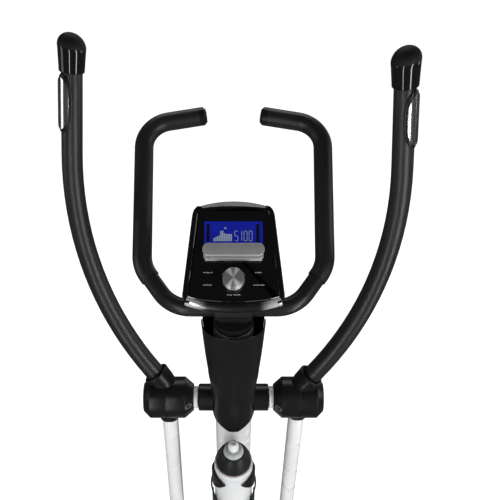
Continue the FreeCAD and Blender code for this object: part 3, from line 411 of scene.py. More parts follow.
# ---- End bulbs of the moving handles ---------------------------------------------------------
# Two-part moulding: a gloss sleeve that widens upward, and a matt rubber dome set in it that
# slopes down towards the other handle.
def turned(profile, steps=72, axis=(0, 0, 1)):
    """Lathe work about Z: the profile's points are (radius, height)."""
    bm = bmesh.new()
    verts = [bm.verts.new((r, 0, z)) for r, z in profile]
    edges = [bm.edges.new(pair) for pair in zip(verts, verts[1:])]
    bmesh.ops.spin(bm, geom=verts + edges, cent=(0, 0, 0), axis=axis, angle=math.tau, steps=steps, use_merge=True)
    bmesh.ops.remove_doubles(bm, verts=bm.verts, dist=1e-6)
    bmesh.ops.recalc_face_normals(bm, faces=bm.faces)
    return bm


rubber_dome = satin_plastic("rubber_dome", 0.006, 0.55, 0.7)
sleeve_gloss = gloss_plastic("sleeve_gloss", 0.006)
bulb_radius = 0.0225
bulb_slope = 0.24
bulb_rise = 0.005
for side, flip in sides:
    top = (handle_axes(side) @ Matrix.Translation(handle_end()) @ Matrix.Rotation(-handle_inward, 4, "Y")
           @ Matrix.Translation((0, 0, bulb_rise)))
    sleeve = turned([(0.0169, -0.0430), (bulb_radius - 0.0040, -0.0450), (bulb_radius - 0.0024, -0.0435),
                     (bulb_radius - 0.0006, -0.0120), (bulb_radius, -0.0060), (bulb_radius - 0.0008, -0.0040),
                     (0.0150, -0.0060)], 96)
    dome = turned([(0.0, 0.0155)] + [(math.sin(a) * bulb_radius, -0.0055 + math.cos(a) * 0.021)
                                     for a in [math.radians(t) for t in range(8, 97, 8)]] + [(0.0, -0.009)], 96)
    for mesh_part in (sleeve, dome):
        for v in mesh_part.verts:
            rise = max(0.0, min(1.0, (v.co.z + 0.040) / 0.030))
            v.co.z += rise * bulb_slope * v.co.x * 0.5
            v.co.z += 0.06 * v.co.x
    dome_piece = finished(side + "_bulb_dome", dome, top, rubber_dome, side + "_arm", (), flip)
    finished(side + "_bulb_sleeve", sleeve, top, sleeve_gloss, side + "_arm",
             [side + "_handle_cap"], flip)


# ---- Pulse sensors ---------------------------------------------------------------------------
# An oval moulded pad clipped round the outer side of each handle, facing the palm, with two
# lens-shaped stainless contact plates let into it either side of a black rib.
def plate_steel():
    material, shader, place = paint("contact_plate", Metallic=1.0)
    brushed = place.node("Mapping", {}, {"Vector": place, "Scale": (1400.0, 1400.0, 60.0)}).noise(1.0)
    drive(shader, "Base Color", brushed.tint((0.72, 0.73, 0.74), (0.86, 0.87, 0.88)))
    drive(shader, "Roughness", brushed.between(0.12, 0.22))
    return material


contact_steel = plate_steel()
sensor_down = 0.087
sensor_half = 0.047
sensor_turn = math.radians(-42)
sensor_spread = math.radians(62)


def wrapped(angle_low, angle_high, half_length, radius, lens, swell=0.0, columns=14, rows=28):
    """Patch bent round the handle: lens trims its high-angle side to a bow, swell raises its middle."""
    bm = bmesh.new()
    bmesh.ops.create_grid(bm, x_segments=columns, y_segments=rows, size=0.5)
    for v in bm.verts:
        along = v.co.y * 2
        across = v.co.x + 0.5
        bow = math.sqrt(max(0.0, 1 - along ** 2 * 0.985)) if lens else 1.0
        angle = angle_low + (angle_high - angle_low) * across * bow
        lift = swell * (1 - along ** 4) * (1 - (2 * across - 1) ** 4)
        v.co = Vector((math.cos(angle) * (radius + lift), math.sin(angle) * (radius + lift), along * half_length))
    bmesh.ops.recalc_face_normals(bm, faces=bm.faces)
    return bm


def thickened(bm, inward):
    """Gives an open patch a thickness towards the handle's axis."""
    for face in bm.faces:
        out = Vector((face.calc_center_median().x, face.calc_center_median().y, 0))
        if face.normal.dot(out) < 0:
            face.normal_flip()
    geometry = bmesh.ops.extrude_face_region(bm, geom=bm.faces[:])["geom"]
    moved = [g for g in geometry if isinstance(g, bmesh.types.BMVert)]
    for v in moved:
        out = Vector((v.co.x, v.co.y, 0)).normalized()
        v.co -= out * inward
    bmesh.ops.recalc_face_normals(bm, faces=bm.faces)
    return bm


for side, flip in sides:
    middle = (handle_axes(side) @ Matrix.Translation(handle_end()) @ Matrix.Rotation(-handle_inward, 4, "Y")
              @ Matrix.Translation((0, 0, -sensor_down)) @ Matrix.Rotation(sensor_turn, 4, "Z"))
    pad = bmesh.new()
    bmesh.ops.create_grid(pad, x_segments=40, y_segments=56, size=1.0)
    for v in pad.verts:
        across = v.co.x * math.sqrt(1 - v.co.y ** 2 / 2)
        along = v.co.y * math.sqrt(1 - v.co.x ** 2 / 2)
        angle = across * sensor_spread
        radius = 0.0160 + 0.0054 * max(0.0, 1 - across ** 2 - along ** 2) ** 0.15
        v.co = Vector((math.cos(angle) * radius, math.sin(angle) * radius, along * sensor_half))
    thickened(pad, 0.002)
    finished(side + "_sensor_pad", pad, middle, satin_black, side + "_arm",
             [side + "_sensor_housing"], flip)
    rib = math.radians(3)
    lens = math.radians(46)
    inner = thickened(wrapped(-rib, -lens, sensor_half * 0.86, 0.0217, True), 0.0015)
    outer = thickened(wrapped(rib, lens, sensor_half * 0.86, 0.0217, True), 0.0015)
    finished(side + "_contact_inner", inner, middle, contact_steel, side + "_arm",
             [side + "_sensor_plates"], flip)
    finished(side + "_contact_outer", outer, middle, contact_steel, side + "_arm", (), flip)


# ---- Pivot covers ----------------------------------------------------------------------------
# Two moulded cups meet round the pivot sleeve; the outer one carries the thick collar that the
# handle goes into and the skirt over the swing tube.  A screw closes the inner cup.
cover_radius = 0.037
for side, flip in sides:
    place = arm_axes(side)
    upright_to_x = Matrix.Rotation(math.pi / 2, 4, "Y")
    r = cover_radius
    cup = turned([(0.0200, 0.0712), (r - 0.0135, 0.0712), (r, 0.0868), (r, 0.1207), (r - 0.001, 0.1212),
                  (0.0200, 0.1212)], 96)
    soften(cup, 0.0012, 20.0)
    finished(side + "_cover_inner", cup, place @ upright_to_x, satin_black, side + "_arm",
             [side + "_pivot_cover"], flip)
    bowl = turned([(0.0, 0.1214), (r - 0.001, 0.1214), (r, 0.1219), (r, 0.1490), (r - 0.0118, 0.1608),
                   (0.0, 0.1608)], 96)
    soften(bowl, 0.0012, 20.0)
    finished(side + "_cover_outer", bowl, place @ upright_to_x, satin_black, side + "_arm",
             (), flip)
    out = handle_axes(side) @ Matrix.Translation(handle_root) @ Matrix.Rotation(handle_splay, 4, "Y")
    collar = turned([(0.010, 0.0300), (0.0205, 0.0300), (0.0225, 0.0420), (0.0232, 0.0575), (0.0238, 0.0600), (0.0230, 0.0622),
                     (0.0212, 0.0630), (0.0186, 0.0615), (0.0176, 0.0590), (0.0174, 0.0480), (0.010, 0.0480)], 80)
    soften(collar, 0.0008, 30.0, 2)
    finished(side + "_cover_collar", collar, out, satin_black, side + "_arm", (), flip)
    skirt = bmesh.new()
    bmesh.ops.create_cube(skirt, size=1.0)
    bmesh.ops.scale(skirt, vec=(0.034, 0.052, 0.026), verts=skirt.verts)
    bmesh.ops.translate(skirt, vec=(0.1166, 0, -r + 0.0095), verts=skirt.verts)
    bmesh.ops.bevel(skirt, geom=[e for e in skirt.edges if abs((e.verts[0].co - e.verts[1].co).z) > 0.01],
                    offset=0.014, segments=8, profile=0.5, affect="EDGES", material=-1)
    soften(skirt, 0.0015, 50.0)
    finished(side + "_cover_skirt", skirt, place, satin_black, side + "_arm", (), flip)
    around_axle = Vector((0, -math.cos(math.radians(20)), math.sin(math.radians(20))))
    hole_facing = around_axle * 0.756 + Vector((-0.654, 0, 0))
    hole = (place @ Matrix.Translation(around_axle * 0.0311 + Vector((0.080, 0, 0)))
            @ hole_facing.to_track_quat("Z", "Y").to_matrix().to_4x4() @ Matrix.Diagonal((1.5, 1, 1, 1)))
    # The pale grey ring round the screw hole is a painted highlight on the countersink's rim; the black disc inside is
    # the hole.
    hole_highlight_lip = turned([(0.0030, -0.0010), (0.0030, 0.0004), (0.0046, 0.0007), (0.0054, -0.0004), (0.0054, -0.0010),
                  (0.0030, -0.0010)], 48)
    finished(side + "_cover_hole_lip", hole_highlight_lip, hole, grey_plastic, side + "_arm", (), flip)
    well = turned([(0.0, -0.0010), (0.0032, -0.0010), (0.0032, 0.0001), (0.0, 0.0001)], 48)
    finished(side + "_cover_hole", well, hole, rubber, side + "_arm", (), flip)


# ---- Mast cover, user's side -----------------------------------------------------------------
# One deep moulding clasps the mast from under the console down past the pivot, where it ends in a
# round tongue with a sunk screw.  A low ridge runs down its middle.
cover_places = ((-0.055, 0.0370), (0.040, 0.0373), (0.096, 0.0420), (0.139, 0.0455), (0.179, 0.0480), (0.222, 0.0503))
tongue_middle = -0.018
tongue_corners = ((0.0, 0.037), (0.0085, 0.0365), (0.0310, 0.0135), (0.0372, 0.0))


def cover_half_width(s):
    """Half width of the cover at a distance along the mast."""
    for (s0, w0), (s1, w1) in zip(cover_places, cover_places[1:]):
        if s <= s1:
            share = max(0.0, (s - s0) / (s1 - s0))
            return w0 + (w1 - w0) * (share * share * (3 - 2 * share) if s1 < 0.1 else share)
    return cover_places[-1][1]


def cover_point(u, s):
    """Point of the cover's skin: u runs 0 to 1 across the user's side, s along the mast."""
    half = cover_half_width(s)
    depth = 0.0368 + (half - 0.037) * 0.25
    angle = math.pi * (u - 0.5)
    power = 0.78
    x = math.copysign(abs(math.sin(angle)) ** power, angle) * half
    y = -abs(math.cos(angle)) ** power * depth
    ridge = max(0.0, 1 - (x / 0.0105) ** 2) * 0.0016 * min(1.0, max(0.0, (s + 0.01) / 0.04))
    return Vector((x, y - ridge, s))


def tongue_depth(x):
    """How far the cover's lower end reaches down at a distance from its middle: a flat and two chamfers."""
    for (x0, d0), (x1, d1) in zip(tongue_corners, tongue_corners[1:]):
        if x <= x1:
            return d0 + (d1 - d0) * (x - x0) / (x1 - x0)
    return 0.0


shield = bmesh.new()
bmesh.ops.create_grid(shield, x_segments=72, y_segments=72, size=0.5)
for v in shield.verts:
    u = v.co.x + 0.5
    x = cover_point(u, -0.055).x
    tip = tongue_middle - tongue_depth(abs(x))
    s = tip + (0.222 - tip) * (v.co.y + 0.5)
    v.co = cover_point(u, s)
bmesh.ops.recalc_face_normals(shield, faces=shield.faces)
bmesh.ops.solidify(shield, geom=shield.faces[:], thickness=0.0022)
soften(shield, 0.0007, 55.0, 2)
finished("mast_shield", shield, mast_axes, satin_black, "root", ["mast_cover_rear"])
recess = turned([(0.0, 0.0006), (0.0036, 0.0006), (0.0040, 0.0014), (0.0054, 0.0018), (0.0062, 0.0004), (0.0, 0.0004)], 40)
finished("mast_shield_screw", recess, mast_axes @ Matrix.Translation((0, -0.0368, -0.018)) @ Matrix.Rotation(math.pi / 2, 4, "X"),
         gloss_black, "root")


# ---- Fixed handlebar -------------------------------------------------------------------------
# Bent steel tube clamped on the mast's head, with foam from the lower bends to its two ends and a
# chamfered plug in each end.
dress(foam, "handlebar_grips")


# ---- Console: panel, chin and display --------------------------------------------------------
# Gloss black front moulding with a raised rim, a rounded chin along its lower edge, and a backlit
# liquid crystal display behind its window.
def outline_panel(inset):
    """Outline of the console: bowed lip, tapered sides and bowed top."""
    low, high = 0.0825 - inset, 0.0665 - inset
    points = []
    for k in range(25):
        x = -low + 2 * low * k / 24
        points.append((x, inset - (0.009 * (1 - (x / low) ** 2))))
    for k in range(25):
        x = high - 2 * high * k / 24
        points.append((x, 0.160 - inset + 0.012 * (1 - (x / high) ** 2)))
    return points


def slab(outline, low, high):
    """Prism of a flat outline."""
    bm = bmesh.new()
    face = bm.faces.new([bm.verts.new((x, y, low)) for x, y in outline])
    grown = bmesh.ops.extrude_face_region(bm, geom=[face])["geom"]
    bmesh.ops.translate(bm, vec=(0, 0, high - low), verts=[g for g in grown if isinstance(g, bmesh.types.BMVert)])
    bmesh.ops.recalc_face_normals(bm, faces=bm.faces)
    return bm


def rounded_outline(corners, radius, steps=8):
    """Closed outline with an arc at each corner."""
    points = []
    for i, corner in enumerate(corners):
        corner = Vector(corner)
        back = (Vector(corners[i - 1]) - corner).normalized()
        ahead = (Vector(corners[(i + 1) % len(corners)]) - corner).normalized()
        half = back.angle(ahead) / 2
        centre = corner + (back + ahead).normalized() * (radius / math.sin(half))
        first = math.atan2(*reversed(corner + back * (radius / math.tan(half)) - centre))
        last = math.atan2(*reversed(corner + ahead * (radius / math.tan(half)) - centre))
        sweep = (last - first + math.pi) % math.tau - math.pi
        points += [centre + Vector((math.cos(first + sweep * k / steps), math.sin(first + sweep * k / steps))) * radius
                   for k in range(steps + 1)]
    return points


def box_outline(x0, x1, y0, y1):
    return [(x0, y0), (x1, y0), (x1, y1), (x0, y1)]


panel = slab(outline_panel(0.0), 0.0262, 0.0350)
corners = [e for e in panel.edges if abs((e.verts[0].co - e.verts[1].co).z) > 0.005
           and len(e.link_faces) == 2 and e.calc_face_angle() > math.radians(30)]
bmesh.ops.bevel(panel, geom=corners, offset=0.013, segments=10, profile=0.5, affect="EDGES", material=-1)
rim = [e for e in panel.edges if min(v.co.z for v in e.verts) > 0.0349
       and len(e.link_faces) == 2 and e.calc_face_angle() > math.radians(60)]
bmesh.ops.bevel(panel, geom=rim, offset=0.0035, segments=5, profile=0.5, affect="EDGES", material=-1)
top = max(panel.faces, key=lambda f: f.calc_area() if f.calc_center_median().z > 0.0349 else 0)
bmesh.ops.inset_region(panel, faces=[top], thickness=0.0045, depth=0.0)
bmesh.ops.inset_region(panel, faces=[top], thickness=0.0012, depth=-0.0011)
finished("console_face", panel, desk_axes, gloss_black, "root", ["console_panel"], crease=25.0)

# The chin's base colour turns silver and partly metallic towards both ends. This is a painted highlight where its
# curved corners catch the light; the chin itself is gloss black.
chin_paint, chin_shader, chin_place = paint("chin", Coat_Weight=0.6, Coat_Roughness=0.08)
chin_x = chin_place.node("SeparateXYZ", {}, {0: chin_place})
edgeward = chin_x.maths("ABSOLUTE", chin_x)
painted_corner_highlight = edgeward.node("MapRange", {"interpolation_type": "SMOOTHSTEP"},
                         {0: edgeward, 1: 0.040, 2: 0.070, 3: 0.0, 4: 1.0})
drive(chin_shader, "Base Color", painted_corner_highlight.tint((0.007, 0.007, 0.007), (0.62, 0.63, 0.64)))
drive(chin_shader, "Metallic", painted_corner_highlight * 0.4)
drive(chin_shader, "Roughness", painted_corner_highlight.between(0.3, 0.2))
chin_span, chin_sag = 0.0755, 0.0125
chin_arc = (chin_span ** 2 + chin_sag ** 2) / (2 * chin_sag)
chin_turn = math.asin(chin_span / chin_arc)
chin = bmesh.new()
ring = bmesh.ops.create_circle(chin, segments=32, radius=0.0088, matrix=Matrix.Rotation(math.pi / 2, 4, "Y"))["verts"]
bmesh.ops.translate(chin, vec=(0, -chin_arc, 0), verts=ring)
bmesh.ops.rotate(chin, cent=(0, 0, 0), matrix=Matrix.Rotation(-chin_turn, 3, "Z"), verts=ring)
first = chin.faces.new(ring)
grown = bmesh.ops.spin(chin, geom=chin.edges[:] + ring, cent=(0, 0, 0), axis=(0, 0, 1), angle=2 * chin_turn,
                       steps=40)["geom_last"]
bmesh.ops.contextual_create(chin, geom=[g for g in grown if isinstance(g, bmesh.types.BMEdge)])
bmesh.ops.recalc_face_normals(chin, faces=chin.faces)
bmesh.ops.translate(chin, vec=(0, chin_arc - 0.0075, 0.0266), verts=chin.verts)
soften(chin, 0.002, 60.0)
finished("console_chin", chin, desk_axes, chin_paint, "root")

lcd_blue, lcd_shader, lcd_place = paint("lcd_backlight", Specular_IOR_Level=0.3, Roughness=0.2, Emission_Strength=0.75)
glow = lcd_place.noise(45.0, 1.0)
drive(lcd_shader, "Emission Color", glow.tint((0.005, 0.009, 0.19), (0.010, 0.018, 0.30)))
drive(lcd_shader, "Base Color", glow.tint((0.001, 0.002, 0.10), (0.001, 0.002, 0.14)))
lcd_ink, ink_shader, ink_place = paint("lcd_segments", Roughness=0.4, Emission_Strength=0.55)
drive(ink_shader, "Emission Color", ink_place.noise(200.0, 1.0).tint((0.26, 0.33, 0.44), (0.36, 0.43, 0.52)))
drive(ink_shader, "Base Color", ink_place.noise(90.0, 1.0).tint((0.05, 0.06, 0.08), (0.07, 0.08, 0.10)))
lcd_dark, dark_shader, dark_place = paint("lcd_frame", Roughness=0.3)
drive(dark_shader, "Base Color", dark_place.noise(60.0, 1.0).tint((0.001, 0.001, 0.002), (0.003, 0.004, 0.006)))

display_face = 0.0344
display = slab(rounded_outline(box_outline(-0.0475, 0.0475, 0.080, 0.136), 0.0006, 3), 0.0320, display_face)
finished("display_glass", display, desk_axes, lcd_blue, "root", ["lcd_screen"])


def marks(name, boxes, low, high, material):
    """Flat printed or lit marks, each (x0, x1, y0, y1) in millimetres on the console."""
    bm = bmesh.new()
    for x0, x1, y0, y1 in boxes:
        face = bm.faces.new([bm.verts.new((x / 1000, y / 1000, low)) for x, y in box_outline(x0, x1, y0, y1)])
        grown = bmesh.ops.extrude_face_region(bm, geom=[face])["geom"]
        bmesh.ops.translate(bm, vec=(0, 0, high - low), verts=[g for g in grown if isinstance(g, bmesh.types.BMVert)])
    bmesh.ops.recalc_face_normals(bm, faces=bm.faces)
    finished(name, bm, desk_axes, material, "root")


marks("display_side_bars", [(-43.5, -39.0, 100.0, 131.0), (36.8, 41.8, 100.0, 131.0)], display_face + 0.00003,
      display_face + 0.0003, lcd_dark)
bar_heights = (5.4, 7.0, 8.4, 9.6, 17.6, 18.2, 14.0, 12.4, 12.4, 12.4, 12.4)
segments = [(-32.5 + 2.77 * k, -30.2 + 2.77 * k, 101.5, 101.5 + tall) for k, tall in enumerate(bar_heights)]
segments += [(-15.0, -11.0, 123.0, 124.4), (-14.2, -12.4, 124.4, 126.0)]
icon_row = ((-44.5, 2.0), (-41.0, 1.4), (-38.2, 2.2), (-32.0, 1.6), (-27.0, 2.4), (-24.0, 1.2), (-21.4, 2.6), (-17.0, 1.6),
            (-10.0, 2.2), (-6.6, 1.6), (-3.6, 2.8), (10.5, 2.0), (13.5, 1.2), (28.0, 1.4), (30.8, 1.8), (43.0, 2.2))
segments += [(x, x + wide, 96.0, 98.2) for x, wide in icon_row]


def digit(x, y, wide, tall, lit):
    """Seven-segment figure; lit names the strokes: top, upper left and right, middle, lower, bottom."""
    t = 0.95
    mid = y + tall / 2
    strokes = {"t": (x + t, x + wide - t, y + tall - t, y + tall), "m": (x + t, x + wide - t, mid - t / 2, mid + t / 2),
               "b": (x + t, x + wide - t, y, y + t), "l": (x, x + t, mid + t / 2, y + tall - t),
               "r": (x + wide - t, x + wide, mid + t / 2, y + tall - t), "p": (x, x + t, y + t, mid - t / 2),
               "q": (x + wide - t, x + wide, y + t, mid - t / 2)}
    return [strokes[name] for name in lit]


for place, wide, lit in ((1.6, 6.0, "tlmqb"), (8.2, 5.6, "rq"), (16.6, 5.8, "tlrpqb"), (24.8, 5.8, "tlrpqb")):
    segments += digit(place, 101.6, wide, 18.0, lit)
marks("display_segments", segments, display_face + 0.00003, display_face + 0.00028, lcd_ink)

print_white, print_shader, print_place = paint("printed_white", Roughness=0.5)
drive(print_shader, "Base Color", print_place.noise(700.0, 2.0).tint((0.42, 0.42, 0.43), (0.62, 0.62, 0.62)))
print_face = 0.0339
legend = []
for x0, x1, y in ((-48.5, -33.0, 47.6), (-48.5, -34.5, 26.8), (34.5, 45.5, 47.6), (31.5, 49.5, 26.8), (-10.2, -2.4, 10.4),
                  (0.6, 10.6, 10.4)):
    x = x0
    k = 0
    while x < x1:
        wide = (1.7, 1.1, 1.5, 0.9)[k % 4]
        legend.append((x, min(x + wide, x1), y, y + (1.7, 1.3, 1.3, 1.8)[k % 4]))
        x += wide + 0.5
        k += 1
for angle in range(-60, 61, 12):
    turn = math.radians(angle)
    cx, cy = 20.6 * math.sin(turn), 35 + 20.6 * math.cos(turn)
    small = 0.5 if abs(angle) >= 48 else 0.22
    legend.append((cx - small, cx + small, cy - small, cy + small))
marks("console_print", legend, print_face - 0.0002, print_face + 0.00006, print_white)


# ---- Console: silver strip, tablet rest and knob ---------------------------------------------
# Metallised mouldings: a bowed strip at the top, a two-step ledge that holds a tablet, and a
# spun-faced rotary knob that is pressed to confirm.
def silver(name, dark, light, low, high):
    material, shader, place = paint(name, Metallic=0.45)
    cloud = place.noise(26.0)
    drive(shader, "Base Color", cloud.tint((dark,) * 3, (light,) * 3))
    drive(shader, "Roughness", cloud.between(low, high))
    grain(shader, place.noise(2200.0, 2.0), 0.1, 0.0002)
    return material


silver_trim = silver("silver_moulding", 0.46, 0.58, 0.24, 0.34)
# A near-white metallised tone that only paints highlights: the strips on the tablet ledge below.
highlight_trim = silver("painted_highlight_moulding", 0.90, 0.98, 0.15, 0.25)
dress(silver_trim, "console_trim")

rest_plate = slab(rounded_outline(box_outline(-0.0495, 0.0495, 0.0735, 0.0940), 0.0088), 0.0442, 0.0470)
soften(rest_plate, 0.0009)
finished("tablet_ledge", rest_plate, desk_axes, silver_trim, "root", ["tablet_rest"])
rest_foot = slab(rounded_outline(box_outline(-0.0480, 0.0480, 0.0680, 0.0860), 0.0070), 0.0338, 0.0441)
soften(rest_foot, 0.0010)
finished("tablet_ledge_foot", rest_foot, desk_axes, silver_trim, "root")
# The bright strip along the ledge's lower edge and the bright ends of its foot are painted highlights, where the
# metallised edges catch the lamps.
ledge_highlight_line = slab(rounded_outline(box_outline(-0.0440, 0.0440, 0.0731, 0.0742), 0.0004, 3), 0.0450, 0.0462)
finished("tablet_ledge_highlight_line", ledge_highlight_line, desk_axes, highlight_trim, "root")
for name, x0, x1 in (("left", -0.0455, -0.0260), ("right", 0.0240, 0.0455)):
    tip = slab(rounded_outline(box_outline(x0, x1, 0.0674, 0.0690), 0.0006, 3), 0.0360, 0.0392)
    finished("ledge_foot_tip_" + name, tip, desk_axes, highlight_trim, "root")

knob_paint, knob_shader, place = paint("spun_knob_painted_glints", Metallic=0.4)
desk_tilt = math.atan2(desk_axes.col[1].z, desk_axes.col[1].y)
from_knob = place.node("VectorMath", {"operation": "SUBTRACT"}, {0: place, 1: tuple(desk_axes @ knob_in_desk)})
flat = from_knob.node("VectorRotate", {"rotation_type": "X_AXIS"}, {"Vector": from_knob, "Angle": -desk_tilt})
spread_x = flat.node("SeparateXYZ", {}, {0: flat}, 0)
spread_y = flat.node("SeparateXYZ", {}, {0: flat}, 1)
around = spread_x.maths("ARCTAN2", spread_y, spread_x)
reach = (spread_x * spread_x + spread_y * spread_y) ** 0.5
# The base colour carries four painted highlight wedges, set by the angle round the knob's axis, in place of the spun
# face's reflections. The faint rings are its turning marks, and the roughness drops under the painted highlights.
painted_glints = reach * 0.0
for centre, sharp in ((122, 22.0), (68, 40.0), (-62, 18.0), (-118, 45.0)):
    facing = around - math.radians(centre)
    facing = facing.maths("COSINE", facing)
    painted_glints = painted_glints + facing.maths("MAXIMUM", facing, 0.0) ** sharp
rings = reach * 9000.0
rings = rings.maths("SINE", rings)
drive(knob_shader, "Base Color", (painted_glints * 0.85 + rings * 0.03 + 0.15).tint((0.10,) * 3, (1.0,) * 3))
knob_sheen = painted_glints * -0.15 + 0.38
drive(knob_shader, "Roughness", knob_sheen.maths("MAXIMUM", knob_sheen, 0.2))
knob_mesh = turned([(0.0, -0.0083), (0.0170, -0.0083), (0.0176, -0.0078), (0.0174, 0.0030), (0.0166, 0.0060), (0.0156, 0.0064),
                    (0.0, 0.0060)], 72)
finished("knob_cap", knob_mesh, desk_axes @ Matrix.Translation(knob_in_desk), knob_paint, "knob",
         ["console_knob"])


# ---- Drinking bottle -------------------------------------------------------------------------
# Squeezable polyethylene bottle with a black screw cap, a grey valve dome and a pull nozzle.
def bottle_plastic(name, dark, light, low, high, transmission=0.0):
    material, shader, place = paint(name, Subsurface_Weight=0.15, Coat_Weight=0.15, Coat_Roughness=0.2)
    cloud = place.noise(18.0)
    drive(shader, "Base Color", cloud.tint(dark, light))
    drive(shader, "Roughness", cloud.between(low, high))
    grain(shader, place.noise(500.0, 2.0), 0.08, 0.0004)
    return material


frosted = bottle_plastic("frosted_bottle", (0.66, 0.67, 0.68), (0.74, 0.75, 0.76), 0.32, 0.45)
valve_grey = bottle_plastic("valve_grey", (0.40, 0.41, 0.41), (0.50, 0.51, 0.51), 0.28, 0.4)
valve_pale = bottle_plastic("valve_pale", (0.68, 0.69, 0.68), (0.76, 0.77, 0.76), 0.3, 0.4)
bottle_axes = mast_axes @ Matrix.Translation((0, -0.077, 0))
body = turned([(0.0, -0.290), (0.0310, -0.290), (0.0335, -0.2885), (0.0350, -0.285), (0.0350, -0.235),
               (0.0342, -0.231), (0.0342, -0.224), (0.0350, -0.220), (0.0350, -0.116), (0.0344, -0.111),
               (0.0338, -0.1085), (0.0349, -0.1070), (0.0350, -0.0925), (0.0344, -0.0905), (0.0320, -0.0898),
               (0.0, -0.0898)], 96)
finished("bottle_shell", body, bottle_axes, frosted, "bottle", ["bottle_body"])
cap = turned([(0.0, -0.0905), (0.0310, -0.0905), (0.0318, -0.0895), (0.0318, -0.0800), (0.0312, -0.0780),
              (0.0292, -0.0740), (0.0287, -0.0715), (0.0270, -0.0670), (0.0248, -0.0636), (0.0236, -0.0628),
              (0.0226, -0.0608), (0.0206, -0.0586), (0.0186, -0.0574), (0.0, -0.0574)], 96)
finished("bottle_lid", cap, bottle_axes, shell_black, "bottle", ["bottle_cap"])
dome = turned([(0.0, -0.0578), (0.0176, -0.0578), (0.0180, -0.0568), (0.0174, -0.0536), (0.0158, -0.0501),
               (0.0130, -0.0480), (0.0, -0.0476)], 72)
finished("bottle_valve", dome, bottle_axes, valve_grey, "bottle")
spout = turned([(0.0, -0.0473), (0.0086, -0.0473), (0.0094, -0.0456), (0.0096, -0.0430), (0.0090, -0.0390),
                (0.0084, -0.0345), (0.0076, -0.0312), (0.0058, -0.0296), (0.0034, -0.0292), (0.0026, -0.0298),
                (0.0022, -0.0320), (0.0, -0.0322)], 64)
finished("bottle_spout", spout, bottle_axes, valve_pale, "nozzle", ["bottle_nozzle"])


# ---- Bottle cage -----------------------------------------------------------------------------
# Glass-filled nylon cage screwed to the mast: a cup under the bottle, two pointed wings that hug
# it below its rim, and a thin hoop that runs down to the front in a V.
cage_plastic = satin_plastic("cage_nylon", 0.010, 0.4, 0.55, 800.0, 0.3)


def round_bottle(angle, radius, height):
    """Point round the bottle: angle 0 faces the user, positive towards +X."""
    turn = math.radians(angle)
    return Vector((math.sin(turn) * radius, -math.cos(turn) * radius, height))


def hugging(angle_at, low_at, high_at, radius, thick, columns=26, rows=8):
    """Curved plate round the bottle between two edges given along its length."""
    bm = bmesh.new()
    grid = []
    for i in range(columns + 1):
        u = i / columns
        low, high = low_at(u), high_at(u)
        grid.append([bm.verts.new(round_bottle(angle_at(u), radius, low + (high - low) * j / rows)) for j in range(rows + 1)])
    for i in range(columns):
        for j in range(rows):
            bm.faces.new((grid[i][j], grid[i + 1][j], grid[i + 1][j + 1], grid[i][j + 1]))
    for face in bm.faces:
        middle = face.calc_center_median()
        if face.normal.dot(Vector((middle.x, middle.y, 0))) > 0:
            face.normal_flip()
    grown = bmesh.ops.extrude_face_region(bm, geom=bm.faces[:])["geom"]
    for v in grown:
        if isinstance(v, bmesh.types.BMVert):
            v.co += Vector((v.co.x, v.co.y, 0)).normalized() * thick
    bmesh.ops.recalc_face_normals(bm, faces=bm.faces)
    return bm


def wire(points, radius, sides=12, closed=False):
    """Round wire through points."""
    bm = bmesh.new()
    rings = []
    count = len(points)
    for i, point in enumerate(points):
        ahead = points[(i + 1) % count] if closed or i < count - 1 else point
        behind = points[i - 1] if closed or i else point
        along = (ahead - behind).normalized()
        side = along.cross(Vector((0, 0, 1))).normalized()
        if side.length < 0.5:
            side = Vector((1, 0, 0))
        up = side.cross(along)
        rings.append([bm.verts.new(point + side * math.cos(a) * radius + up * math.sin(a) * radius)
                      for a in [math.tau * k / sides for k in range(sides)]])
    for i in range(count if closed else count - 1):
        a, b = rings[i], rings[(i + 1) % count]
        for k in range(sides):
            bm.faces.new((a[k], a[(k + 1) % sides], b[(k + 1) % sides], b[k]))
    if not closed:
        bm.faces.new(rings[0])
        bm.faces.new(rings[-1])
    bmesh.ops.recalc_face_normals(bm, faces=bm.faces)
    return bm


def smooth_path(points, steps=10):
    """Catmull-Rom curve through points."""
    path = []
    padded = [points[0] * 2 - points[1]] + points + [points[-1] * 2 - points[-2]]
    for i in range(1, len(padded) - 2):
        a, b, c, d = padded[i - 1:i + 3]
        for k in range(steps):
            t = k / steps
            path.append((b * 2 + (c - a) * t + (a * 2 - b * 5 + c * 4 - d) * t ** 2 + (b * 3 - a - c * 3 + d) * t ** 3) / 2)
    path.append(points[-1])
    return path


